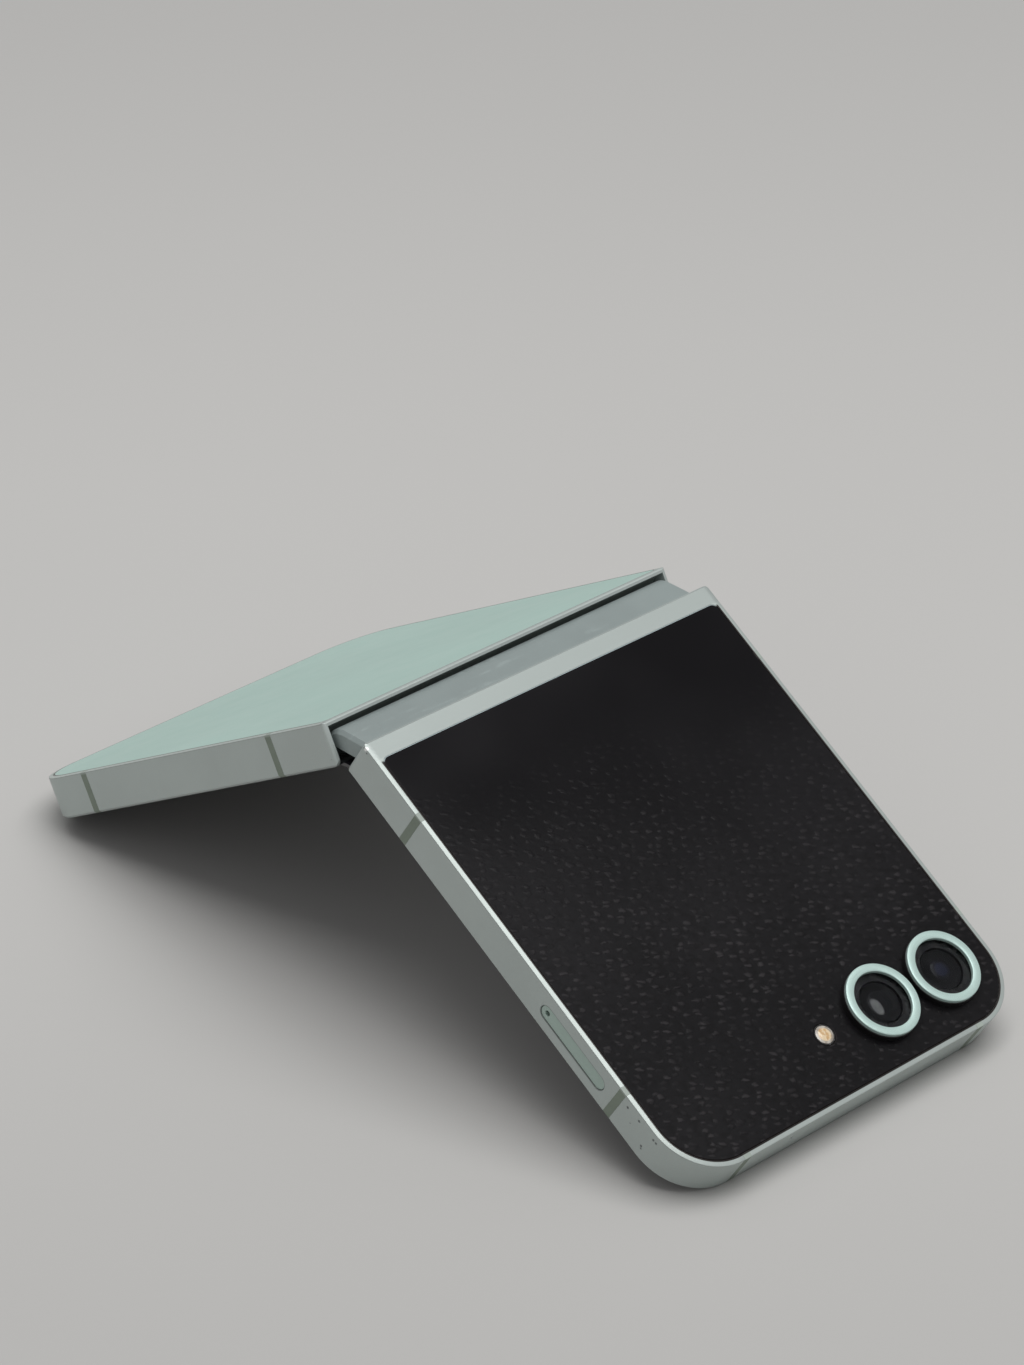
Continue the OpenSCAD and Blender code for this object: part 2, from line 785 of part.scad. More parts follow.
// Stiff part of the screen on one half
module screen_panel(with_hole) {
    color(near_black) difference() {
        slab(screen_recess, screen_back_v)
            half_plan(screen_rim + 2 * screen_clearance, panel_start);
        if (with_hole)
            translate([half_length - punch_inset, 0, 0]) cylinder(r = punch_radius, h = 3);
    }
}

module upper_screen() upper_place() screen_panel(true);
module lower_screen() lower_place() screen_panel(false);

module bezel() {
    color(near_black) difference() {
        slab(0.02, screen_recess - 0.02) half_plan(screen_rim + screen_clearance, bezel_start);
        slab(-cut, screen_recess + cut)
            half_plan(screen_rim + screen_clearance + bezel_width, bezel_start - cut);
    }
}

module upper_bezel() upper_place() bezel();
module lower_bezel() lower_place() bezel();

// Bar magnets behind the far end wall, which hold the phone shut
module magnets() {
    u1 = inner_end - 0.1;
    v0 = board_v + magnet_lift;
    color(steel) for (s = [0, 1]) mirror([0, s, 0])
        block([u1 - magnet_width, magnet_near_y, v0],
            [u1, magnet_near_y + magnet_length, v0 + magnet_width]);
}

module upper_magnets() upper_place() magnets();
module lower_magnets() lower_place() magnets();

// Gears: straight-flanked teeth, one tooth centred on the given angle
module gear_section(teeth, radius, phase) {
    step = 360 / teeth;
    root = radius - tooth_height;
    tip = radius + tooth_height;
    half_root = step * 0.33;
    half_pitch = step * 0.25 * mesh_backlash;
    half_tip = step * 0.12;
    points = [
        for (i = [0:teeth - 1])
            for (k = [[root, -half_root], [radius, -half_pitch], [tip, -half_tip],
                      [tip, half_tip], [radius, half_pitch], [root, half_root]])
                let (angle = phase + i * step + k[1])
                    k[0] * [cos(angle), sin(angle)]
    ];
    polygon(points);
}

// Angle of a tooth on the second gear that meshes with the first, the second lying
// in the given direction
function mesh_phase(direction, phase, teeth, next_teeth) =
    direction + 180
    - 360 / next_teeth * (0.5 - (direction - phase) * teeth / 360);

// Tooth angles seen along +Y with X right and Z up, as posed
upper_idler_phase = 180;
lower_idler_phase = mesh_phase(180, upper_idler_phase, idler_teeth, idler_teeth);
upper_arm_phase =
    mesh_phase(arm_to_idler + 180, upper_idler_phase, idler_teeth, arm_teeth);
lower_arm_phase =
    mesh_phase(-arm_to_idler, lower_idler_phase, idler_teeth, arm_teeth);

// A section in X and Z, extruded along +Y
module along_y(length) {
    translate([0, length, 0]) rotate([90, 0, 0]) linear_extrude(length) children();
}

// Hinge arm in its half's flat place: gear, barrel and the plate fixed to the frame
module hinge_arm(tooth_phase) {
    color(steel) difference() {
        union() {
            translate([pivot_x, gear_w, pivot_v])
                along_y(gear_width) gear_section(arm_teeth, arm_gear_r, tooth_phase);
            bar_y(pivot_x, pivot_v, gear_w + gear_width - 0.1, arm_w + arm_length,
                barrel_radius);
            block([pivot_x, arm_w, pivot_v - arm_thickness / 2],
                [arm_reach, arm_w + arm_length, pivot_v + arm_thickness / 2]);
        }
        bar_y(pivot_x, pivot_v, 0, module_length, pin_radius + pin_clearance);
        for (w = arm_screw_places())
            translate([arm_screw_u, w, 0]) cylinder(r = screw_radius, h = half_thickness);
    }
}

module upper_arm() hinge_arm(upper_arm_phase + fold_angle);
module lower_arm() hinge_arm(180 - lower_arm_phase + fold_angle);

module upper_hinge_arm_front() upper_place() front_module() upper_arm();
module upper_hinge_arm_rear() upper_place() rear_module() upper_arm();
module lower_hinge_arm_front() lower_place() front_module() lower_arm();
module lower_hinge_arm_rear() lower_place() rear_module() lower_arm();

module arm_screws() {
    for (s = [0, 1]) mirror([0, s, 0]) front_module()
        for (w = arm_screw_places())
            translate([arm_screw_u, w, pivot_v - arm_thickness / 2])
                cylinder(r = screw_radius, h = arm_screw_length);
}

// Screws through a board into the deck
module board_screws(places) {
    for (p = places) translate([p[0], p[1], 0]) {
        translate([0, 0, board_top_v]) cylinder(r = screw_head_radius, h = screw_head_height);
        translate([0, 0, deck_top_v - 0.55])
            cylinder(r = screw_radius, h = board_top_v - deck_top_v + 0.55 + 0.02);
    }
}

module upper_screws() color(steel) upper_place() {
    arm_screws();
    board_screws(upper_screw_places);
}

module lower_screws() color(steel) lower_place() {
    arm_screws();
    board_screws(lower_screw_places);
}

// Keys: a face in the wall's slot and a wider foot behind the wall
module side_key(u, length, proud) {
    back = half_width - wall_thickness - key_travel - 0.1;
    color(alloy) {
        slot_y(u, tray_v, length, key_height, back, half_width + proud);
        block([u - length / 2 - key_flange, back - 0.6, tray_v - key_height / 2],
            [u + length / 2 + key_flange, back, tray_v + key_height / 2]);
    }
}

module power_key() upper_place() side_key(power_u, power_length, -0.15);
module volume_key() upper_place() side_key(volume_u, volume_length, volume_proud);

// Switches that the keys press, on a narrow strip
module key_switches() {
    front = half_width - wall_thickness - 2 * key_travel - 0.1 - 0.6 - 0.05;
    strip_start = power_u - power_length / 2 - 1.7;
    strip_end = volume_u + volume_length / 2 + 0.75;
    half = switch_width / 2;
    color(gold) upper_place() {
        block([strip_start, front - switch_depth - 0.3, tray_v - 1],
            [strip_end, front - switch_depth, tray_v + 1]);
        for (u = [power_u, volume_u - volume_switch_offset, volume_u + volume_switch_offset])
            block([u - half, front - switch_depth - 0.1, tray_v - 0.8],
                [u + half, front, tray_v + 0.8]);
    }
}

// Card tray: its face in the wall and a drawer with a window for the card
module card_tray() {
    face_y = -half_width + tray_recess;
    back_y = face_y + plate_thickness;
    release_u = tray_u - tray_length / 2 + tray_height / 2 + 0.05;
    window_half = drawer_width / 2 - tray_window_side;
    color([0.60, 0.70, 0.65]) upper_place() difference() {
        union() {
            slot_y(tray_u, tray_v, tray_length, tray_height, face_y, back_y);
            block([tray_u - drawer_width / 2, back_y - 0.1, tray_v - drawer_thickness / 2],
                [tray_u + drawer_width / 2, back_y + drawer_length,
                tray_v + drawer_thickness / 2]);
        }
        bar_y(release_u, tray_v, face_y - cut, back_y + drawer_length + cut, release_radius);
        block([tray_u - window_half, back_y + tray_window_end,
            tray_v - drawer_thickness / 2 + tray_floor],
            [tray_u + window_half, back_y + drawer_length - tray_window_end,
            tray_v + drawer_thickness]);
    }
}

// Hinge cover: two rounds about the pivots joined by a flat, open to the screen side
module cover_body(radius, y_half, bevel) {
    for (s = [-1, 1]) translate([s * pivot_x, 0, pivot_v]) {
        bar_y(0, 0, -y_half + bevel, y_half - bevel, radius);
        for (m = [0, 1]) mirror([0, m, 0])
            translate([0, y_half - bevel, 0]) rotate([-90, 0, 0])
                cylinder(r1 = radius, r2 = radius - bevel, h = max(bevel, 0.01));
    }
    translate([-pivot_x, 0, pivot_v]) rotate([90, 0, 90]) linear_extrude(2 * pivot_x)
        polygon([
            [-y_half, 0], [y_half, 0], [y_half, radius - bevel], [y_half - bevel, radius],
            [-y_half + bevel, radius], [-y_half, radius - bevel]
        ]);
}

module hinge_cover() {
    y = cover_half_length - cover_end_wall;
    far = pivot_x + cover_radius + cut;
    color(alloy) hinge_place() difference() {
        cover_body(cover_radius, cover_half_length, cover_bevel);
        for (s = [-1, 1])
            bar_y(s * pivot_x, pivot_v, -y, y, cover_radius - cover_wall);
        block([-pivot_x, -y, 0], [pivot_x, y, bridge_top]);
        block([-far, -half_width, -far], [far, half_width, cover_mouth_v]);
    }
}

// Bracket: a bridge under the cover's top and two cheeks that hold the pins
module hinge_bracket() {
    bottom = screen_back_v + 0.1;
    shoulder = bridge_top - 0.1;
    color(steel) difference() {
        union() {
            block([-pivot_x, 0, bridge_v], [pivot_x, module_length, bridge_top]);
            block([-bracket_half_width, 0, bridge_v],
                [bracket_half_width, module_length, shoulder]);
            for (w = [0, module_length - cheek_thickness])
                block([-bracket_half_width, w, bottom],
                    [bracket_half_width, w + cheek_thickness, shoulder]);
        }
        pin_bars(0, module_length);
        translate([0, module_length / 2, bridge_v - cut])
            cylinder(r = screw_radius, h = bridge_top);
    }
}

// Pins of one module: two on the pivots and two for the idlers
module pin_bars(w0, w1) {
    for (s = [-1, 1]) {
        bar_y(s * pivot_x, pivot_v, w0, w1, pin_radius);
        bar_y(s * idler_r, idler_v, w0, w1, pin_radius);
    }
}

module hinge_bracket_front() hinge_place() front_module() hinge_bracket();
module hinge_bracket_rear() hinge_place() rear_module() hinge_bracket();

module hinge_pins() color(steel) hinge_place() {
    front_module() pin_bars(0, module_length);
    rear_module() pin_bars(0, module_length);
}

module bracket_screws() {
    color(steel) hinge_place() for (s = [0, 1]) mirror([0, s, 0]) front_module()
        translate([0, module_length / 2, bridge_v])
            cylinder(r = screw_radius, h = bridge_top - bridge_v);
}

module idler_gear(side, tooth_phase) {
    color(gold) translate([side * idler_r, 0, idler_v]) difference() {
        union() {
            translate([0, gear_w, 0])
                along_y(gear_width) gear_section(idler_teeth, idler_r, tooth_phase);
            bar_y(0, 0, gear_w + gear_width - 0.1, module_length - gear_w, barrel_radius);
        }
        bar_y(0, 0, 0, module_length, idler_bore);
    }
}

module idler_gears_upper() hinge_place() {
    front_module() idler_gear(1, upper_idler_phase);
    rear_module() idler_gear(1, upper_idler_phase);
}

module idler_gears_lower() hinge_place() {
    front_module() idler_gear(-1, lower_idler_phase);
    rear_module() idler_gear(-1, lower_idler_phase);
}

// Bending part of the screen as posed: an arc that runs on into both halves
module screen_fold() {
    mid_v = screen_recess + screen_thickness / 2;
    // Where the middle planes of the two stiff parts meet, from the pivot
    reach = (pivot_x + (mid_v - pivot_v) * sin(fold_angle)) / cos(fold_angle);
    apex_v = pivot_v + reach * sin(fold_angle) + (mid_v - pivot_v) * cos(fold_angle);
    arc_v = apex_v - bend_radius / cos(fold_angle);
    tangent_u = pivot_x - reach + bend_radius * tan(fold_angle);
    y_half = half_width - screen_rim - 2 * screen_clearance;
    r0 = bend_radius - screen_thickness / 2;
    r1 = bend_radius + screen_thickness / 2;
    far = 2 * bend_radius;
    color(near_black) {
        hinge_place() translate([0, -y_half, 0]) along_y(2 * y_half)
            translate([0, arc_v]) intersection() {
                difference() {
                    circle(r1, $fn = 128);
                    circle(r0, $fn = 128);
                }
                polygon([[0, 0], far * [-sin(fold_angle), cos(fold_angle)],
                    [0, 2 * far], far * [sin(fold_angle), cos(fold_angle)]]);
            }
        upper_place() screen_leg(tangent_u, y_half);
        lower_place() screen_leg(tangent_u, y_half);
    }
}

// A straight end of the bending part; it is a hair thinner, so that it joins inside the arc
module screen_leg(start, y_half) {
    hair = 0.01;
    overlap = 0.3;
    block([start - overlap, -y_half + hair, screen_recess + hair],
        [panel_start - screen_clearance, y_half - hair, screen_back_v - hair]);
}

// Other half
module lower_frame() {
    color(alloy) lower_place() difference() {
        half_frame(back_glass_start, seam_half + lower_setback);
        band_boxes(lower_band_near, lower_band_far);
        slot_x(0, port_v, port_width + 2 * key_gap, port_height + 2 * key_gap,
            half_length - wall_thickness - cut, half_length + cut);
        for (i = [0:speaker_holes - 1])
            end_hole(first_speaker_hole_y + i * speaker_hole_pitch, port_v, speaker_hole_radius);
        end_hole(lower_mic_y, port_v, mic_radius);
        for (p = lower_screw_places) deck_hole(p[0], p[1]);
    }
}

// A round hole along X through the far end wall
module end_hole(y, v, r) {
    translate([half_length - wall_thickness - cut, y, v])
        rotate([0, 90, 0]) cylinder(r = r, h = wall_thickness + 2 * cut);
}

module lower_antenna_bands() {
    color(band_grey) lower_place() bands(lower_band_near, lower_band_far, back_glass_start);
}

module back_glass() {
    color(mint) lower_place()
        slab(glass_v, half_thickness) glass_plan(back_glass_start, glass_inset);
}

module charging_coil() {
    u = inner_start + lower_battery_length / 2;
    color(copper) lower_place() translate([u, 0, seat_v - coil_thickness])
        difference() {
            cylinder(r = coil_radius, h = coil_thickness);
            translate([0, 0, -cut]) cylinder(r = coil_bore, h = coil_thickness + 2 * cut);
        }
}

module lower_battery() {
    color(cell_grey) lower_place()
        block([inner_start, -lower_battery_width / 2, board_v],
            [inner_start + lower_battery_length, lower_battery_width / 2,
            board_v + battery_thickness]);
}

// Lower board, cut out round the charging port
module lower_board() {
    start = lower_board_start;
    color(board_green) lower_place() difference() {
        slab(board_v, board_top_v) intersection() {
            half_plan(wall_thickness + inner_gap, start);
            translate([start, -half_width]) square([inner_end - start, 2 * half_width]);
        }
        block([half_length - port_depth - inner_gap, -port_width / 2 - inner_gap, 0],
            [half_length, port_width / 2 + inner_gap, half_thickness]);
        screw_holes(lower_screw_places);
    }
}

module port_shell() {
    x0 = half_length - port_depth;
    x1 = half_length - 0.25;
    color(steel) lower_place() difference() {
        slot_x(0, port_v, port_width, port_height, x0, x1);
        slot_x(0, port_v, port_width - 2 * port_wall, port_height - 2 * port_wall,
            x0 + port_wall, x1 + cut);
    }
}

module port_tongue() {
    x0 = half_length - port_depth + port_wall;
    half = port_width / 2 - 1.1;
    color(near_black) lower_place()
        block([x0, -half, port_v - tongue_thickness / 2],
            [half_length - 1.2, half, port_v + tongue_thickness / 2]);
}

module loudspeaker() {
    color(near_black) lower_place()
        block([inner_end - speaker_length, speaker_near_y, board_top_v + inner_gap],
            [inner_end, speaker_near_y + speaker_width, seat_v - 0.6]);
}

module vibration_motor() {
    v0 = board_top_v + inner_gap;
    color(steel) lower_place()
        block([inner_end - motor_from_end - motor_width, -motor_near_y - motor_length, v0],
            [inner_end - motor_from_end, -motor_near_y, v0 + motor_height]);
}

upper_frame();
upper_antenna_bands();
cover_glass();
cover_screen();
camera_base_wide();
camera_base_ultrawide();
camera_ring_wide();
camera_ring_ultrawide();
camera_window_wide();
camera_window_ultrawide();
camera_module_wide();
camera_module_ultrawide();
flash_lens();
upper_battery();
main_board();
card_reader();
earpiece();
front_camera();
upper_screen();
upper_bezel();
upper_magnets();
upper_hinge_arm_front();
upper_hinge_arm_rear();
upper_screws();
power_key();
volume_key();
key_switches();
card_tray();
hinge_cover();
hinge_bracket_front();
hinge_bracket_rear();
hinge_pins();
bracket_screws();
screen_fold();
idler_gears_upper();
idler_gears_lower();
lower_frame();
lower_antenna_bands();
back_glass();
charging_coil();
lower_battery();
lower_board();
port_shell();
port_tongue();
loudspeaker();
vibration_motor();
lower_screen();
lower_bezel();
lower_magnets();
lower_hinge_arm_front();
lower_hinge_arm_rear();
lower_screws();
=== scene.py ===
import json
import math

import bmesh
import bpy
from mathutils import Matrix, Vector

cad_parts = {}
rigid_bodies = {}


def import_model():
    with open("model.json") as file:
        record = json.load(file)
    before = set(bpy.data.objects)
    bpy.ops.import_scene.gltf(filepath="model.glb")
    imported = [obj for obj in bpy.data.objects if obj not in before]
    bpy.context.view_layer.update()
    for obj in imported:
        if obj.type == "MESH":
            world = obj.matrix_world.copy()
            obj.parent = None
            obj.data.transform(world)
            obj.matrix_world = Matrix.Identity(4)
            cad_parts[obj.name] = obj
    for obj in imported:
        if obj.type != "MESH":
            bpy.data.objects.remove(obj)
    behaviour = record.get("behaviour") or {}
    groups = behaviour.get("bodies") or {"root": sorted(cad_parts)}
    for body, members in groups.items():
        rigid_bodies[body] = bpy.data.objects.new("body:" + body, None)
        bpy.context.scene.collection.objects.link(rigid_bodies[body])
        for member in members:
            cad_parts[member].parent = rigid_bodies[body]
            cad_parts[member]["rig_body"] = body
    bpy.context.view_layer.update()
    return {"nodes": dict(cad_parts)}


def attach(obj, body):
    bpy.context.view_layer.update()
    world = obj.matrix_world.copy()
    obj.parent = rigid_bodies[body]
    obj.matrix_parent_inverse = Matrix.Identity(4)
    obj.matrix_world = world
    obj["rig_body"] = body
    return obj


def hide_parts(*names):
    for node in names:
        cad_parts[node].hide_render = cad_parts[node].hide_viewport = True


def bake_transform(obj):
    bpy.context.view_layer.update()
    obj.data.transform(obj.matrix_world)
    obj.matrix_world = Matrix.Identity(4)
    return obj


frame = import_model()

scene = bpy.context.scene
nodes = frame["nodes"]
MM = 0.001

# Sizes of the phone in millimetres, as in its solids
FOLD = math.radians(31)
PIVOT_X, PIVOT_V = 2.0, 1.45
HALF_LENGTH, HALF_WIDTH, THICK = 82.55, 35.95, 6.9
CORNER, GLASS_INSET = 10.0, 1.0
GLASS_START = {1: 4.4, -1: 2.9}
CAMERA_U, FLASH_Y, WIDE_Y, ULTRA_Y = 72.15, 0.0, 11.7, 25.1
BASE_TOP = THICK + 1.15
BARREL_TOP = BASE_TOP - 0.8
RING_BORE, RING_RADIUS, RING_HEIGHT, RING_EDGE = 4.75, 6.1, 0.55, 0.13
BASE_RADIUS, WINDOW_RADIUS, WINDOW_THICK = 6.2, 4.96, 0.45
TRAY_U, TRAY_V, TRAY_HALF = 55.2, 3.4, 6.25  # middle of the card tray and half of its straight part
COIL_U = 33.67
FRONT_CAMERA_U = HALF_LENGTH - 5.4
PORT_V = THICK / 2
SCREEN_CHAMFER = 0.35
# The screen's bend as posed: its end, half width and the place where it meets its panel
BEND_RADIUS, BEND_THICK, BEND_MID = 7.0, 0.55, 0.525
BEND_END, BEND_WIDTH, PANEL_JOIN = 8.94, 34.84, 8.2
PIVOT_Z = (HALF_LENGTH - SCREEN_CHAMFER - PIVOT_X) * math.sin(FOLD) + PIVOT_V * math.cos(FOLD)


def half_matrix(side):
    """Flat place (u, y, v) of a half in millimetres to its posed place in metres."""
    c, s = math.cos(FOLD), math.sin(FOLD)
    u_axis, v_axis = Vector((side * c, 0, -s)), Vector((side * s, 0, c))
    origin = Vector((side * PIVOT_X, 0, PIVOT_Z)) - PIVOT_X * u_axis - PIVOT_V * v_axis
    m = Matrix.Identity(4)
    for i in range(3):
        m[i][0], m[i][1], m[i][2] = u_axis[i] * MM, (0, 1, 0)[i] * MM, v_axis[i] * MM
        m[i][3] = origin[i] * MM
    return m


UPPER, LOWER = half_matrix(1), half_matrix(-1)


# ---------- materials ----------
class Shader:
    """A node material that is built up with short calls."""

    def __init__(self, name, **values):
        self.mat = bpy.data.materials.new(name)
        self.mat.use_nodes = True
        self.tree = self.mat.node_tree
        self.bsdf = self.tree.nodes["Principled BSDF"]
        for key, value in values.items():
            self.bsdf.inputs[key.replace("_", " ")].default_value = value
        self.coords = self.tree.nodes.new("ShaderNodeTexCoord")

    def node(self, kind, **settings):
        n = self.tree.nodes.new("ShaderNode" + kind)
        for key, value in settings.items():
            setattr(n, key, value)
        return n

    def link(self, a, b):
        self.tree.links.new(a, b)

    def place(self, scale=(1, 1, 1), source="Object", rotate=(0, 0, 0)):
        m = self.node("Mapping")
        m.inputs["Scale"].default_value = scale
        m.inputs["Rotation"].default_value = rotate
        self.link(self.coords.outputs[source], m.inputs["Vector"])
        return m.outputs["Vector"]

    def noise(self, scale, detail=3.0, rough=0.5, where=None):
        n = self.node("TexNoise")
        n.inputs["Scale"].default_value = scale
        n.inputs["Detail"].default_value = detail
        n.inputs["Roughness"].default_value = rough
        self.link(where or self.coords.outputs["Object"], n.inputs["Vector"])
        return n.outputs["Fac"]

    def cells(self, scale, where=None, feature="F1", randomness=1.0):
        n = self.node("TexVoronoi", feature=feature)
        n.inputs["Scale"].default_value = scale
        n.inputs["Randomness"].default_value = randomness
        self.link(where or self.coords.outputs["Object"], n.inputs["Vector"])
        return n.outputs["Distance"]

    def math(self, op, a, b=0.0):
        n = self.node("Math", operation=op)
        for i, x in enumerate((a, b)):
            if hasattr(x, "is_linked"):
                self.link(x, n.inputs[i])
            else:
                n.inputs[i].default_value = x
        return n.outputs[0]

    def span(self, x, low, high, to_low=0.0, to_high=1.0):
        """x from low..high carried to to_low..to_high, smooth and clamped."""
        n = self.node("MapRange", interpolation_type="SMOOTHSTEP")
        for key, value in (("From Min", low), ("From Max", high), ("To Min", to_low), ("To Max", to_high)):
            n.inputs[key].default_value = value
        self.link(x, n.inputs["Value"])
        return n.outputs["Result"]

    def axis(self, which, source=None):
        n = self.node("SeparateXYZ")
        self.link(source or self.coords.outputs["Object"], n.inputs[0])
        return n.outputs[which]

    def mix(self, factor, a, b):
        n = self.node("Mix", data_type="RGBA")
        n.clamp_factor = True
        for socket, x in ((n.inputs[0], factor), (n.inputs[6], a), (n.inputs[7], b)):
            if hasattr(x, "is_linked"):
                self.link(x, socket)
            else:
                socket.default_value = x if isinstance(x, float) else (*x[:3], 1.0)
        return n.outputs[2]

    def color(self, socket):
        self.link(socket, self.bsdf.inputs["Base Color"])

    def rough(self, socket):
        self.link(socket, self.bsdf.inputs["Roughness"])

    def bump(self, height, distance, strength=1.0):
        """A relief: height 0..1 over a depth in metres; several calls are laid over each other."""
        n = self.node("Bump")
        n.inputs["Strength"].default_value = strength
        n.inputs["Distance"].default_value = distance
        self.link(height, n.inputs["Height"])
        if self.bsdf.inputs["Normal"].is_linked:
            self.link(self.bsdf.inputs["Normal"].links[0].from_socket, n.inputs["Normal"])
        self.link(n.outputs["Normal"], self.bsdf.inputs["Normal"])

    def spot(self, point, radius, soft=0.35, wobble=None):
        """1 inside a small blotch at a point of the object, 0 outside."""
        n = self.node("VectorMath", operation="DISTANCE")
        self.link(wobble or self.coords.outputs["Object"], n.inputs[0])
        n.inputs[1].default_value = point
        return self.span(n.outputs["Value"], radius * (1 - soft), radius * (1 + soft), 1.0, 0.0)


def srgb(r, g, b):
    def lin(c):
        c /= 255.0
        return c / 12.92 if c <= 0.04045 else ((c + 0.055) / 1.055) ** 2.4
    return lin(r), lin(g), lin(b)


def scaled(color, k):
    return tuple(c * k for c in color)


def at(side, u, y, v):
    return (UPPER if side > 0 else LOWER) @ Vector((u, y, v))


ALLOY = srgb(184, 193, 190)
# strip colours: the mint half's is lighter than the alloy, a painted highlight
STRIP = {1: (178, 187, 183, 0.6), -1: (204, 214, 209, 0.5)}  # strip beside the glass: colour and share
JOINT = {1: (34, 28, 26), -1: (128, 134, 130)}  # line between the frame and the glass
CHIPS = [  # worn places on the camera half: u, y, v, radius in mm, dark or bright
    (67.3, -35.9, 5.4, 0.2, 0), (69.9, -35.85, 5.6, 0.22, 0), (73.3, -35.8, 5.55, 0.24, 0),
    (73.85, -35.75, 5.5, 0.2, 0), (72.45, -35.95, 2.5, 0.2, 0), (72.65, -35.95, 2.1, 0.14, 0),
    (78.85, -33.0, 5.65, 0.3, 0), (69.05, -35.95, 3.65, 0.1, 0),
    (2.05, -35.9, 6.75, 0.3, 1), (2.0, -35.95, 6.4, 0.2, 1), (1.35, -35.95, 6.2, 0.2, 0),
    (2.5, -35.95, 6.2, 0.16, 0), (1.3, -35.6, 6.75, 0.14, 1),
]
LOWER_CHIPS = [(2.24, -35.95, 1.0, 0.13, 0), (2.8, -35.95, 1.3, 0.07, 0)]


def half_coords(s, side):
    """Sockets with the flat place (u, y, v) of a half, in metres, for shading on its frame."""
    c, sn = math.cos(FOLD), math.sin(FOLD)
    origin = at(side, 0, 0, 0)
    out = []
    for axis in ((side * c, 0, -sn), (0, 1, 0), (side * sn, 0, c)):
        n = s.node("VectorMath", operation="DOT_PRODUCT")
        s.link(s.coords.outputs["Object"], n.inputs[0])
        n.inputs[1].default_value = axis
        out.append(s.math("SUBTRACT", n.outputs["Value"], Vector(axis).dot(origin)))
    return out


def outline_depth(s, u, y):
    """Distance in metres inside a half's outline, for its long sides, corners and far end."""
    qu = s.math("MAXIMUM", s.math("SUBTRACT", u, (HALF_LENGTH - CORNER) * MM), 0.0)
    qy = s.math("MAXIMUM", s.math("SUBTRACT", s.math("ABSOLUTE", y), (HALF_WIDTH - CORNER) * MM), 0.0)
    reach = s.math("SQRT", s.math("ADD", s.math("MULTIPLY", qu, qu), s.math("MULTIPLY", qy, qy)))
    return s.math("SUBTRACT", CORNER * MM, reach)


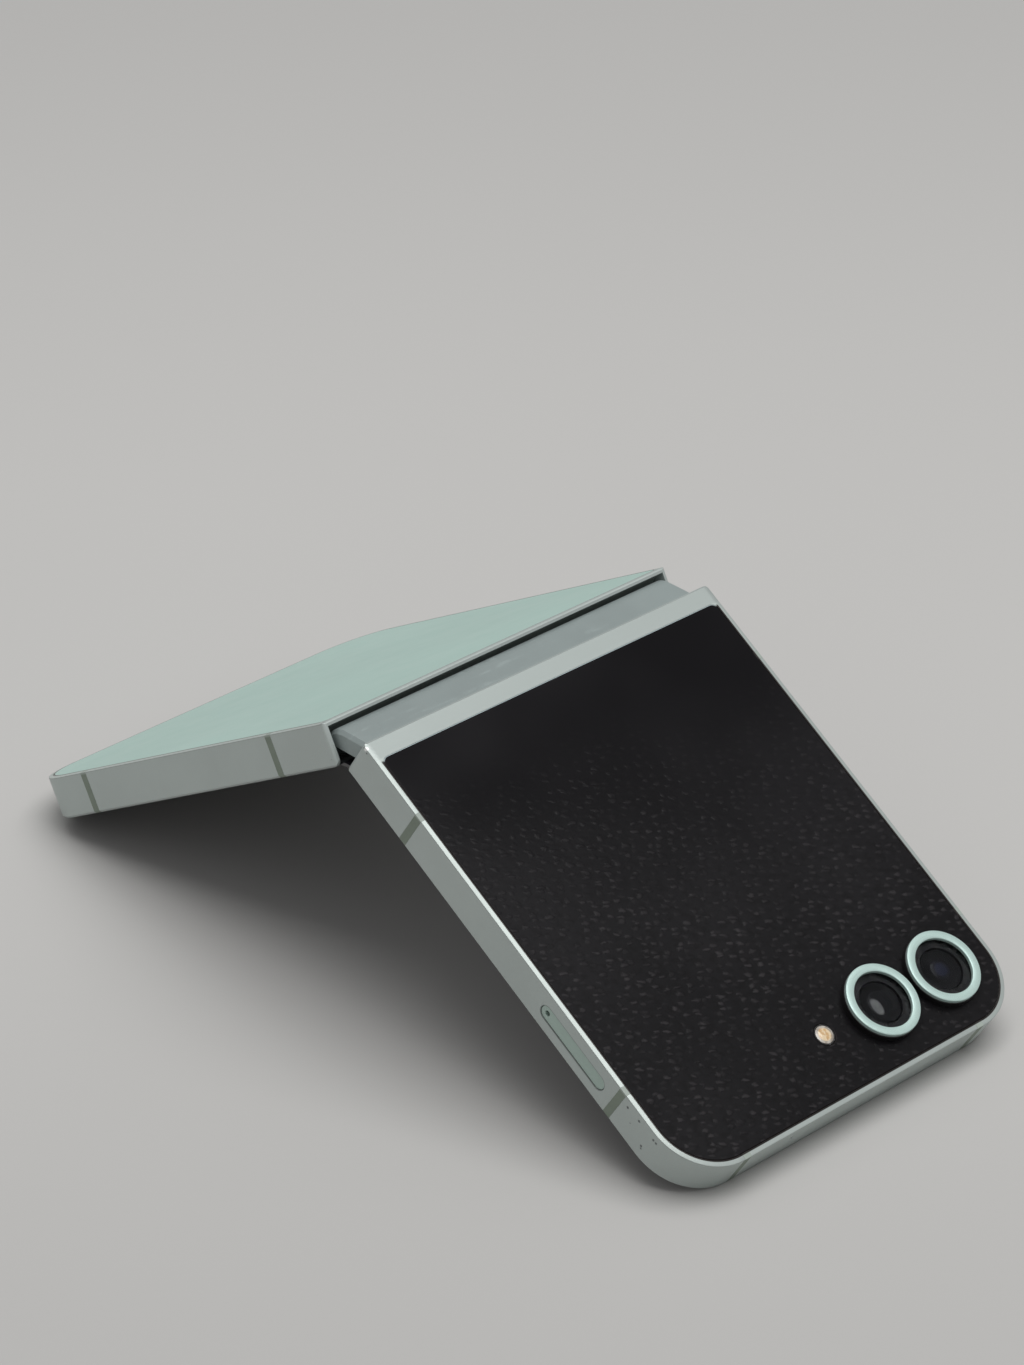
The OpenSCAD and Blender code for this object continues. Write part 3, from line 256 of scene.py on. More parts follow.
def alloy_material(name, side=0, chips=(), scuffs=0.0, tint=(1, 1, 1), rough=0.48, tray=False):
    base = tuple(a * t for a, t in zip(ALLOY, tint))
    s = Shader(name, Metallic=0.42, Roughness=rough)
    cloud = s.noise(60, 4, 0.6)
    fine = s.noise(5200, 2, 0.6)
    tone = s.mix(s.span(cloud, 0.3, 0.7), scaled(base, 0.95), scaled(base, 1.04))
    tone = s.mix(s.math("MULTIPLY", s.span(fine, 0.35, 0.75), 0.35), tone, scaled(base, 1.12))
    roughness = s.span(cloud, 0.25, 0.75, rough - 0.03, rough + 0.04)
    height, dark = fine, None
    if side:
        # polished strip round the glass, painted lighter on the mint half as a painted highlight and dimmed at
        # the far end, the dark joint beside it, the lip at the hinge painted darker as painted shade, and a
        # worn outer edge
        u, y, v = half_coords(s, side)
        depth = outline_depth(s, u, y)
        high = s.span(v, (THICK - 0.2) * MM, (THICK - 0.13) * MM)
        ring = s.math("MULTIPLY", high, s.span(depth, (GLASS_INSET + 0.03) * MM, (GLASS_INSET - 0.06) * MM))
        # painted highlight: the strip gets its own colour, lighter than the alloy on the mint half and dimmed
        # at the far end
        far = s.span(u, (HALF_LENGTH - 5.5) * MM, (HALF_LENGTH - 2.0) * MM)
        shade = s.math("MULTIPLY", far, s.span(depth, 0.72 * MM, 0.5 * MM))
        strip = s.math("MULTIPLY", ring, s.math("SUBTRACT", 1.0, s.math("MULTIPLY", shade, 0.8)))
        tone = s.mix(s.math("MULTIPLY", strip, STRIP[side][3]), tone, srgb(*STRIP[side][:3]))
        start = GLASS_START[side]
        joint = s.math("MULTIPLY", s.span(depth, 0.66 * MM, 0.74 * MM),
                       s.span(depth, (GLASS_INSET + 0.12) * MM, (GLASS_INSET + 0.04) * MM))
        joint = s.math("MULTIPLY", high, joint)
        joint = s.math("MULTIPLY", joint, s.span(u, (start + 0.3) * MM, (start + 0.7) * MM))
        tone = s.mix(joint, tone, srgb(*JOINT[side]))
        # painted shade: the lip at the hinge is painted darker than the alloy
        lip = s.math("MULTIPLY", high, s.span(u, (start + 0.1) * MM, (start - 0.1) * MM))
        tone = s.mix(lip, tone, scaled(base, 0.88))
        seam = s.math("MULTIPLY", s.span(v, (THICK - 0.36) * MM, (THICK - 0.2) * MM),
                      s.span(v, (THICK - 0.08) * MM, (THICK - 0.14) * MM))
        seam = s.math("MULTIPLY", seam, s.span(depth, 0.4 * MM, 0.1 * MM))
        tone = s.mix(s.math("MULTIPLY", seam, 0.3), tone, scaled(base, 0.5))
        roughness = s.math("SUBTRACT", roughness, s.math("MULTIPLY", ring, 0.12))
    if tray:
        # shadow line round the card tray
        along = s.math("ABSOLUTE", s.math("SUBTRACT", u, TRAY_U * MM))
        qu = s.math("MAXIMUM", s.math("SUBTRACT", along, TRAY_HALF * MM), 0.0)
        qv = s.math("SUBTRACT", v, TRAY_V * MM)
        gap = s.math("SQRT", s.math("ADD", s.math("MULTIPLY", qu, qu), s.math("MULTIPLY", qv, qv)))
        line = s.math("MULTIPLY", s.span(gap, 1.42 * MM, 1.3 * MM), s.span(y, -35.0 * MM, -35.6 * MM))
        tone = s.mix(s.math("MULTIPLY", line, 0.8), tone, scaled(base, 0.3))
    if chips:
        wobble = s.node("VectorMath", operation="MULTIPLY_ADD")
        grain = s.node("TexNoise")
        grain.inputs["Scale"].default_value = 4200
        s.link(s.coords.outputs["Object"], grain.inputs["Vector"])
        s.link(grain.outputs["Color"], wobble.inputs[0])
        wobble.inputs[1].default_value = (0.00026,) * 3
        s.link(s.coords.outputs["Object"], wobble.inputs[2])
        shift = s.node("VectorMath", operation="ADD")
        s.link(wobble.outputs[0], shift.inputs[0])
        shift.inputs[1].default_value = (-0.00013,) * 3
        for cu, cy, cv, r, bright in chips:
            m = s.spot(at(side, cu, cy, cv), r * MM, 0.3, shift.outputs[0])
            if bright:
                tone = s.mix(m, tone, (0.95, 0.97, 0.95))
            else:
                tone = s.mix(s.math("MULTIPLY", m, 0.85), tone, (0.10, 0.11, 0.11))
                dark = m if dark is None else s.math("MAXIMUM", dark, m)
    if scuffs:
        lines = s.noise(1.0, 5, 0.65, s.place((900, 60, 900)))
        blots = s.noise(420, 5, 0.7)
        wear_and_mottle = s.math("MULTIPLY", s.span(lines, 0.52, 0.66), s.span(blots, 0.42, 0.62))
        tone = s.mix(s.math("MULTIPLY", wear_and_mottle, scuffs), tone, scaled(base, 1.45))
        roughness = s.math("ADD", s.math("MULTIPLY", wear_and_mottle, 0.16), roughness)
    s.color(tone)
    s.rough(roughness)
    s.bump(height, 0.000012, 0.5)
    if dark is not None:
        s.bump(s.math("SUBTRACT", 1.0, dark), 0.00006, 0.8)
    return s.mat


def plastic_material(name, color, rough=0.5, grain=3000.0, depth=0.00001, spec=0.4, coat=0.0):
    s = Shader(name, Roughness=rough)
    s.bsdf.inputs["Specular IOR Level"].default_value = spec
    s.bsdf.inputs["Coat Weight"].default_value = coat
    s.bsdf.inputs["Coat Roughness"].default_value = 0.08
    cloud = s.noise(180, 4, 0.6)
    fine = s.noise(grain, 3, 0.6)
    s.color(s.mix(s.span(cloud, 0.25, 0.75), scaled(color, 0.88), scaled(color, 1.1)))
    s.rough(s.span(fine, 0.3, 0.7, rough - 0.06, rough + 0.08))
    s.bump(fine, depth, 0.5)
    return s.mat


def band_resin(name, side):
    """Antenna resin: greyer than the alloy on the walls, and painted lighter on the bevelled edge, close to
    the alloy, as a painted highlight.
    """
    s = Shader(name, Roughness=0.5)
    s.bsdf.inputs["Specular IOR Level"].default_value = 0.4
    u, y, v = half_coords(s, side)
    joint = s.math("MULTIPLY", s.span(v, (THICK - 0.2) * MM, (THICK - 0.13) * MM),
                   s.span(outline_depth(s, u, y), 0.66 * MM, 0.74 * MM))
    cloud = s.noise(180, 4, 0.6)
    wall = s.mix(s.span(cloud, 0.25, 0.75), srgb(120, 131, 119), srgb(131, 142, 129))
    # painted highlight: the bevelled top edge is painted lighter than the walls
    edge = s.mix(s.span(cloud, 0.25, 0.75), srgb(158, 168, 161), srgb(168, 178, 171))
    tone = s.mix(s.span(v, 6.3 * MM, 6.75 * MM), wall, edge)
    s.color(s.mix(joint, tone, srgb(*JOINT[side])))
    s.rough(s.span(s.noise(2600, 3), 0.3, 0.7, 0.44, 0.58))
    s.bump(s.noise(2600, 3, 0.6), 0.00001, 0.5)
    return s.mat


def metal_material(name, color, rough=0.3, brush=(1, 1, 1), scale=900.0, bump=0.00001):
    s = Shader(name, Metallic=1.0, Roughness=rough)
    streak = s.noise(scale, 4, 0.6, s.place(brush))
    s.color(s.mix(s.span(streak, 0.25, 0.75), scaled(color, 0.85), scaled(color, 1.12)))
    s.rough(s.span(streak, 0.2, 0.8, rough - 0.08, rough + 0.1))
    s.bump(streak, bump, 0.6)
    return s.mat


def ground_edge(s, side):
    """1 on the ground bevel round a pane of a half, 0 on its flat."""
    n = s.node("VectorMath", operation="DOT_PRODUCT")
    s.link(s.coords.outputs["Normal"], n.inputs[0])
    n.inputs[1].default_value = (side * math.sin(FOLD), 0, math.cos(FOLD))
    return s.span(n.outputs["Value"], 0.985, 0.95)


def leather_glass():
    """Black cover: smooth and glossy by the hinge, with a soft leather-like grain from the middle on."""
    s = Shader("black_cover_glass", Roughness=0.3)
    s.bsdf.inputs["Specular IOR Level"].default_value = 0.1
    c, sn = math.cos(FOLD), math.sin(FOLD)
    start = UPPER @ Vector((0, 0, THICK))
    along = s.node("VectorMath", operation="DOT_PRODUCT")
    s.link(s.coords.outputs["Object"], along.inputs[0])
    along.inputs[1].default_value = (c, 0, -sn)
    u = s.math("SUBTRACT", along.outputs["Value"], start.x * c - start.z * sn)
    y = s.axis(1)
    # the grain fades in with the distance from the hinge and towards the near edge
    drift = s.math("MULTIPLY", s.math("SUBTRACT", s.noise(30, 2), 0.5), 0.03)
    fade = s.span(s.math("ADD", s.math("ADD", u, drift), s.math("MULTIPLY", y, -0.10)), 0.010, 0.055)
    # grain cells lie in the plane of the glass, drawn out along the phone's width
    lay = s.node("CombineXYZ")
    across = s.math("ADD", s.math("MULTIPLY", u, 0.42), s.math("MULTIPLY", y, 0.907))
    s.link(s.math("MULTIPLY", across, 0.6), lay.inputs[0])
    s.link(s.math("ADD", s.math("MULTIPLY", u, 0.907), s.math("MULTIPLY", y, -0.42)), lay.inputs[1])
    cell = s.node("TexVoronoi", voronoi_dimensions="2D", feature="F1")
    cell.inputs["Scale"].default_value = 820
    cell.inputs["Randomness"].default_value = 0.75
    bend = s.node("VectorMath", operation="MULTIPLY_ADD")
    wave = s.node("TexNoise", noise_dimensions="2D")
    wave.inputs["Scale"].default_value = 900
    wave.inputs["Detail"].default_value = 3
    s.link(lay.outputs[0], wave.inputs["Vector"])
    s.link(wave.outputs["Color"], bend.inputs[0])
    bend.inputs[1].default_value = (0.0009,) * 3
    s.link(lay.outputs[0], bend.inputs[2])
    s.link(bend.outputs[0], cell.inputs["Vector"])
    pick = s.axis(0, cell.outputs["Color"])
    dot = s.math("MULTIPLY", s.span(cell.outputs["Distance"], 0.08, 0.36, 1.0, 0.0),
                 s.span(pick, 0.1, 0.9, 0.25, 1.0))
    patch = s.span(s.noise(170, 3, 0.6), 0.36, 0.62, 0.35, 1.0)
    # painted highlight: the light tops of the grain's pebbles are painted as lighter flecks, over the real
    # bump of the grain
    pebble_highlight = s.math("MULTIPLY", s.math("MULTIPLY", dot, patch), fade)
    # painted shade: the flecks are left out in a ring round each camera base, a bare margin that stands in for
    # the bases' shadow on the glass
    for cy in (WIDE_Y, ULTRA_Y):
        base_shadow_margin = s.spot(at(1, CAMERA_U, cy, THICK), 7.6 * MM, 0.07)
        pebble_highlight = s.math("MULTIPLY", pebble_highlight, s.math("SUBTRACT", 1.0, base_shadow_margin))
    # painted reflection: soft diagonal bands of the room's reflection are painted into the black; the same
    # bands vary the roughness
    reflection_band = s.noise(1.0, 2, 0.5, s.place((28, 28, 28), rotate=(0.3, 0.2, 0.9)))
    black = s.mix(s.span(reflection_band, 0.35, 0.68), srgb(20, 19, 21), srgb(28, 27, 29))
    # painted shade: the grain's hollows are painted darker
    hollow_shade = s.math("MULTIPLY", s.span(wave.outputs["Fac"], 0.55, 0.3), s.math("MULTIPLY", fade, 0.5))
    black = s.mix(hollow_shade, black, srgb(14, 13, 14))
    tone = s.mix(s.math("MULTIPLY", pebble_highlight, 0.42), black, srgb(74, 71, 73))
    # the ground bevel is dark along the glass; on its hinge side it is painted bright, a painted highlight
    hinge_highlight = s.span(u, (GLASS_START[1] + 0.8) * MM, (GLASS_START[1] + 0.3) * MM)
    bevel = s.mix(hinge_highlight, srgb(30, 27, 27), srgb(196, 210, 214))
    s.color(s.mix(ground_edge(s, 1), tone, bevel))
    s.rough(s.math("ADD", s.math("MULTIPLY", fade, 0.22), s.span(reflection_band, 0.3, 0.7, 0.1, 0.16)))
    relief = s.math("ADD", dot, s.math("MULTIPLY", wave.outputs["Fac"], 0.5))
    s.bump(s.math("MULTIPLY", relief, fade), 0.00008, 0.7)
    return s.mat


def mint_glass():
    s = Shader("mint_back_glass", Roughness=0.42)
    s.bsdf.inputs["Specular IOR Level"].default_value = 0.35
    s.bsdf.inputs["Coat Weight"].default_value = 0.15
    s.bsdf.inputs["Coat Roughness"].default_value = 0.3
    cloud = s.noise(26, 4, 0.55)
    fine = s.noise(6500, 2, 0.5)
    mint = srgb(174, 205, 196)
    tone = s.mix(s.span(cloud, 0.3, 0.7), scaled(mint, 0.97), scaled(mint, 1.03))
    s.color(s.mix(ground_edge(s, -1), tone, srgb(128, 134, 130)))
    s.rough(s.span(s.noise(140, 5, 0.65), 0.3, 0.7, 0.38, 0.46))
    s.bump(fine, 0.000006, 0.4)
    return s.mat


def ring_metal():
    s = Shader("ring_mint_metal", Metallic=0.4, Roughness=0.34)
    turned = s.noise(1.0, 3, 0.6, s.place((3, 260, 1), "UV"))
    mint = srgb(192, 217, 211)
    s.color(s.mix(s.span(turned, 0.3, 0.7), scaled(mint, 0.95), scaled(mint, 1.05)))
    s.rough(s.span(turned, 0.25, 0.75, 0.26, 0.36))
    s.bump(turned, 0.000006, 0.5)
    return s.mat


def flash_resin():
    s = Shader("flash_resin", Roughness=0.12)
    s.bsdf.inputs["Coat Weight"].default_value = 0.8
    s.bsdf.inputs["Coat Roughness"].default_value = 0.04
    centre = at(1, CAMERA_U, FLASH_Y, THICK)
    d = s.node("VectorMath", operation="DISTANCE")
    s.link(s.coords.outputs["Object"], d.inputs[0])
    d.inputs[1].default_value = centre
    cells = s.cells(1500, None, "F1", 0.8)
    warm = s.mix(s.span(cells, 0.25, 0.6), srgb(214, 176, 126), srgb(236, 214, 178))
    warm = s.mix(s.span(s.noise(1700, 3), 0.5, 0.66), warm, srgb(196, 156, 110))
    rim = s.mix(s.span(s.noise(900, 3), 0.42, 0.6), srgb(196, 190, 180), srgb(150, 140, 128))
    rim = s.mix(s.span(d.outputs["Value"], 0.00144, 0.00152), rim, srgb(24, 23, 24))
    s.color(s.mix(s.span(d.outputs["Value"], 0.00094, 0.00122), warm, rim))
    s.bump(cells, 0.00006, 0.5)
    return s.mat


def glass_clear(name, tint=(0.9, 0.92, 0.95), rough=0.02):
    s = Shader(name, Roughness=rough, IOR=1.15)
    s.bsdf.inputs["Transmission Weight"].default_value = 1.0
    smear = s.noise(300, 4, 0.6)
    s.color(s.mix(s.span(smear, 0.3, 0.8), tint, scaled(tint, 0.94)))
    return s.mat


def lens_coat(name, color, inner=None, centre=None, reach=(1.0, 1.0)):
    """Dark coated lens; inner is the tint of a soft spot painted on it, with its centre and half sizes in mm;
    the spot is the wide lens's painted reflection of the lamp and the ultrawide lens's bluish inner element.
    """
    s = Shader(name, Roughness=0.22)
    s.bsdf.inputs["Specular IOR Level"].default_value = 0.12
    cloud = s.noise(900, 2)
    tone = s.mix(s.span(cloud, 0.3, 0.7), scaled(color, 0.8), color)
    if inner:
        u, y, v = half_coords(s, 1)
        across = s.math("DIVIDE", s.math("SUBTRACT", u, centre[0] * MM), reach[0] * MM)
        along = s.math("DIVIDE", s.math("SUBTRACT", y, centre[1] * MM), reach[1] * MM)
        away = s.math("ADD", s.math("MULTIPLY", across, across), s.math("MULTIPLY", along, along))
        away = s.math("SQRT", away)
        wear_and_mottle = s.span(s.noise(1500, 3), 0.35, 0.65, 0.82, 1.0)
        tone = s.mix(s.math("MULTIPLY", s.span(away, 1.2, 0.8), wear_and_mottle), tone, inner)
    s.color(tone)
    s.rough(s.span(cloud, 0.3, 0.7, 0.18, 0.26))
    return s.mat


def screen_material():
    s = Shader("screen_black", Roughness=0.14)
    s.bsdf.inputs["Specular IOR Level"].default_value = 0.5
    s.bsdf.inputs["Coat Weight"].default_value = 0.6
    s.bsdf.inputs["Coat Roughness"].default_value = 0.06
    smear = s.noise(45, 5, 0.6, s.place((1, 0.4, 1)))
    s.color(s.mix(s.span(smear, 0.35, 0.7), (0.006, 0.006, 0.008), (0.012, 0.012, 0.015)))
    s.rough(s.span(smear, 0.35, 0.75, 0.10, 0.2))
    s.bump(s.noise(120, 2), 0.00002, 0.3)
    return s.mat


def coil_material():
    s = Shader("coil_copper", Metallic=1.0, Roughness=0.35)
    centre = at(-1, COIL_U, 0, THICK)
    d = s.node("VectorMath", operation="DISTANCE")
    s.link(s.coords.outputs["Object"], d.inputs[0])
    d.inputs[1].default_value = centre
    turns = s.math("SINE", s.math("MULTIPLY", d.outputs["Value"], 9000.0))
    copper = (0.72, 0.36, 0.18)
    s.color(s.mix(s.span(turns, -0.9, 0.2), scaled(copper, 0.4), copper))
    s.bump(s.span(turns, -1.0, 1.0), 0.0001, 0.8)
    return s.mat


def board_material():
    s = Shader("board_resist", Roughness=0.4)
    tracks = s.cells(700, None, "DISTANCE_TO_EDGE", 0.6)
    green = srgb(20, 70, 48)
    s.color(s.mix(s.span(tracks, 0.02, 0.06), scaled(green, 1.8), green))
    s.rough(s.span(s.noise(800), 0.3, 0.7, 0.32, 0.5))
    s.bump(s.span(tracks, 0.0, 0.08), 0.00002, 0.5)
    return s.mat


M = {
    "upper_alloy": alloy_material("upper_alloy", 1, CHIPS, tray=True),
    "lower_alloy": alloy_material("lower_alloy", -1, LOWER_CHIPS),
    "cover_alloy": alloy_material("cover_alloy", scuffs=0.3, tint=(0.68, 0.71, 0.725)),
    "key_alloy": alloy_material("key_alloy", rough=0.33),
    "tray_alloy": alloy_material("tray_alloy", tint=(0.88, 1.0, 0.94), rough=0.42),
    "upper_band": band_resin("antenna_resin_upper", 1),
    "lower_band": band_resin("antenna_resin_lower", -1),
    "leather_glass": leather_glass(),
    "mint_glass": mint_glass(),
    "ring": ring_metal(),
    "base": plastic_material("camera_base_black", srgb(24, 23, 24), 0.34, 5000, 0.000004, 0.4, 0.2),
    "barrel": plastic_material("barrel_black", srgb(9, 9, 10), 0.6, 2400, 0.00001, 0.15),
    "window": glass_clear("camera_window_glass"),
    # wide lens: its grey spot is a painted reflection of the lamp, off the lens axis
    "lens": lens_coat("lens_coating", (0.008, 0.008, 0.009), srgb(122, 122, 119),
                      (CAMERA_U + 0.3, WIDE_Y - 0.9), (1.4, 0.8)),
    "lens_blue": lens_coat("lens_coating_blue", (0.010, 0.010, 0.012), srgb(40, 42, 57),
                           (CAMERA_U, ULTRA_Y), (1.1, 1.1)),
    "lens_front": lens_coat("lens_coating_front", (0.010, 0.011, 0.018)),
    "flash": flash_resin(),
    "screen": screen_material(),
    "bezel": plastic_material("bezel_rubber", srgb(26, 26, 27), 0.55, 3800, 0.00001, 0.3),
    "steel": metal_material("inner_steel", (0.48, 0.49, 0.5), 0.3, (1, 12, 1)),
    "gold": metal_material("contact_gold", (0.83, 0.62, 0.3), 0.25),
    "brass": metal_material("gear_brass", (0.72, 0.56, 0.3), 0.3, (1, 6, 1)),
    "cell": plastic_material("cell_foil", srgb(58, 59, 62), 0.35, 500, 0.00003, 0.5, 0.2),
    "board": board_material(),
    "copper": coil_material(),
    "part_black": plastic_material("part_black", srgb(24, 24, 25), 0.45, 1800),
}


# ---------- mesh helpers ----------
def add(name, mesh, mat, body, *replaced, slot=None):
    o = bpy.data.objects.new(name, mesh)
    scene.collection.objects.link(o)
    mesh.materials.clear()
    mesh.materials.append(M[mat])
    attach(o, body)
    if replaced:
        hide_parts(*replaced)
    return o


def finish_mesh(bm, name, angle=32.0):
    mesh = bpy.data.meshes.new(name)
    bm.normal_update()
    bm.to_mesh(mesh)
    bm.free()
    for p in mesh.polygons:
        p.use_smooth = True
    mesh.set_sharp_from_angle(angle=math.radians(angle))
    return mesh


def dressed(node, name, mat, width=0.06, segments=2, angle=26.0, slot=None):
    """A node's own form with its sharp edges rounded off by a hair, so that they catch the light."""
    bm = bmesh.new()
    bm.from_mesh(nodes[node].data)
    bmesh.ops.remove_doubles(bm, verts=bm.verts, dist=2e-6)
    bmesh.ops.dissolve_limit(bm, angle_limit=math.radians(0.6), verts=bm.verts, edges=bm.edges)
    bm.normal_update()
    picked = []
    for e in bm.edges:
        if len(e.link_faces) != 2 or not e.is_convex:
            continue
        if e.calc_face_angle(0.0) > math.radians(angle):
            picked.append(e)
    if picked and width:
        bmesh.ops.bevel(bm, geom=picked, offset=width * MM, offset_type="OFFSET", segments=segments,
                        profile=0.5, affect="EDGES", clamp_overlap=False)
        bmesh.ops.remove_doubles(bm, verts=bm.verts, dist=2e-6)
    o = add(name, finish_mesh(bm, name), mat, nodes[node]["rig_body"], node, slot=slot)
    w = o.modifiers.new("flat_faces", "WEIGHTED_NORMAL")
    w.keep_sharp = True
    return o


def lathe(bm, profile, matrix, steps=96, closed=False):
    """A profile of (radius, height) turned round the local v axis."""
    layer = bm.loops.layers.uv.verify()
    n = len(profile)
    rows = []
    for i in range(steps):
        a = 2 * math.pi * i / steps
        spots = [matrix @ Vector((r * math.cos(a), r * math.sin(a), h)) if r > 1e-9 else None
                 for r, h in profile]
        rows.append([None if co is None else bm.verts.new(co) for co in spots])
    poles = {}
    for j, (r, h) in enumerate(profile):
        if r <= 1e-9:
            poles[j] = bm.verts.new(matrix @ Vector((0, 0, h)))
    length = [0.0]
    for j in range(1, n):
        length.append(length[-1] + math.dist(profile[j], profile[j - 1]))
    total = length[-1] or 1.0
    spans = list(range(n - 1)) + ([n - 1] if closed else [])
    for i in range(steps):
        k = (i + 1) % steps
        for j in spans:
            m = (j + 1) % n
            quad = [rows[i][j] or poles[j], rows[k][j] or poles[j],
                    rows[k][m] or poles[m], rows[i][m] or poles[m]]
            quad = [v for q, v in enumerate(quad) if v not in quad[:q]]
            if len(quad) < 3:
                continue
            f = bm.faces.new(quad)
            for loop in f.loops:
                near = loop.vert in (rows[i][j], rows[k][j], poles.get(j))
                right = loop.vert in (rows[k][j], rows[k][m])
                turn = (i + (1 if right else 0)) / steps
                loop[layer].uv = (turn, (length[j] if near else length[m]) / total)


def lathe_piece(name, profile, place, mat, body, *replaced, steps=96, closed=False, slot=None, angle=30.0):
    bm = bmesh.new()
    lathe(bm, profile, place, steps, closed=closed)
    bmesh.ops.recalc_face_normals(bm, faces=bm.faces)
    return add(name, finish_mesh(bm, name, angle), mat, body, *replaced, slot=slot)


def rounded_box(bm, low, high, matrix, width=0.05, segments=2):
    lo, hi = Vector(low), Vector(high)
    made = bmesh.ops.create_cube(bm, size=1.0)
    verts = made["verts"]
    for v in verts:
        v.co = Vector(tuple(lo[i] + (v.co[i] + 0.5) * (hi[i] - lo[i]) for i in range(3)))
    edges = list({e for v in verts for e in v.link_edges})
    if width:
        out = bmesh.ops.bevel(bm, geom=edges, offset=width, segments=segments, profile=0.5, affect="EDGES")
        verts = list({v for f in out["faces"] for v in f.verts} | {v for v in verts if v.is_valid})
    for v in verts:
        v.co = matrix @ v.co


def arc(cx, cy, r, a0, a1, n):
    return [(cx + r * math.cos(math.radians(a0 + (a1 - a0) * i / n)),
             cy + r * math.sin(math.radians(a0 + (a1 - a0) * i / n))) for i in range(n + 1)]


def local(side, u, y, v=0.0):
    """Matrix of a turned piece that stands on a half at (u, y, v)."""
    return (UPPER if side > 0 else LOWER) @ Matrix.Translation(Vector((u, y, v)))


# ---------- frames, keys, tray, hinge cover ----------
dressed("upper_frame", "upper_frame_shell", "upper_alloy", 0.05, slot="satin_alloy")
dressed("lower_frame", "lower_frame_shell", "lower_alloy", 0.05, slot="satin_alloy")
dressed("hinge_cover", "hinge_cover_shell", "cover_alloy", 0.08, 3, slot="satin_alloy")
dressed("card_tray", "card_tray_face", "tray_alloy", 0.07, slot="satin_alloy")
dressed("power_key", "power_key_cap", "key_alloy", 0.12, 3, slot="satin_alloy")
dressed("volume_key", "volume_key_cap", "key_alloy", 0.12, 3, slot="satin_alloy")
dressed("upper_antenna_bands", "upper_band_strips", "upper_band", 0.0, slot="antenna_resin")
dressed("lower_antenna_bands", "lower_band_strips", "lower_band", 0.0, slot="antenna_resin")

# ---------- glass ----------
dressed("cover_glass", "cover_glass_pane", "leather_glass", 0.15, 3, 40.0, slot="black_glass")
dressed("back_glass", "back_glass_pane", "mint_glass", 0.14, 3, 40.0, slot="mint_glass")

# ---------- cameras ----------
for name, y, lens, reach, rise in (("wide", WIDE_Y, "lens", 1.0, 0.12),
                                   ("ultrawide", ULTRA_Y, "lens_blue", 0.85, 0.16)):
    place = local(1, CAMERA_U, y)
    top = BASE_TOP
    edge = top + RING_HEIGHT - RING_EDGE
    ring = ([(RING_BORE, top), (RING_BORE, edge)] + arc(RING_BORE + RING_EDGE, edge, RING_EDGE, 180, 90, 4)
            + arc(RING_RADIUS - RING_EDGE, edge, RING_EDGE, 90, 0, 4) + [(RING_RADIUS, top), (RING_BORE, top)])
    lathe_piece("camera_ring_%s_turned" % name, ring, place, "ring", "upper_half",
                "camera_ring_" + name, steps=160, slot="polished_alloy")
    base = ([(3.6, 6.35), (5.4, 6.35), (5.4, THICK), (BASE_RADIUS, THICK), (BASE_RADIUS, top - 0.15)]
            + arc(BASE_RADIUS - 0.12, top - 0.12, 0.12, 0, 90, 3)
            + [(5.02, top), (5.0, top - WINDOW_THICK), (3.6, top - WINDOW_THICK), (3.6, 6.35)])
    lathe_piece("camera_base_%s_turned" % name, base, place, "base", "upper_half",
                "camera_base_" + name, steps=128, slot="black_plastic")
    pane = [(0, top - WINDOW_THICK), (WINDOW_RADIUS, top - WINDOW_THICK), (WINDOW_RADIUS, top - 0.06),
            (WINDOW_RADIUS - 0.06, top), (0, top)]
    lathe_piece("camera_window_%s_pane" % name, pane, place, "window", "upper_half",
                "camera_window_" + name, steps=96, slot="camera_glass", angle=12.0)
    seat = BARREL_TOP - 0.01
    well = [(3.36, seat), (3.36, seat + 0.13), (2.8, seat + 0.11), (2.65, seat + 0.04),
            (2.1 * reach, seat + 0.02), (2.1 * reach, seat)]
    lathe_piece("camera_well_" + name, well, place, "barrel", "upper_half", steps=96, closed=True,
                slot="black_plastic")
    dome = [(2.02 * reach * math.cos(math.radians(a)), seat + rise * math.sin(math.radians(a)))
            for a in range(0, 90, 10)]
    lathe_piece("camera_lens_" + name, dome + [(0, seat + rise)], place, lens, "upper_half", steps=96,
                slot="camera_glass")

# flash: a low dome in a thin seat
flash = [(0, 6.0), (1.74, 6.0), (1.74, 6.86), (1.7, 6.9), (1.52, 6.9), (1.48, 6.86), (1.42, 6.87),
         (1.2, 6.91), (0.7, 6.95), (0, 6.97)]
lathe_piece("flash_lens_dome", flash, local(1, CAMERA_U, FLASH_Y), "flash", "upper_half", "flash_lens",
            steps=64, slot="flash_resin")

# ---------- screen ----------
for node in ("upper_screen", "lower_screen"):
    dressed(node, node + "_panel", "screen", 0.05, 2, 40.0, slot="screen")
dressed("upper_bezel", "upper_bezel_frame", "bezel", 0.04, 2, slot="bezel_plastic")
dressed("lower_bezel", "lower_bezel_frame", "bezel", 0.04, 2, slot="bezel_plastic")


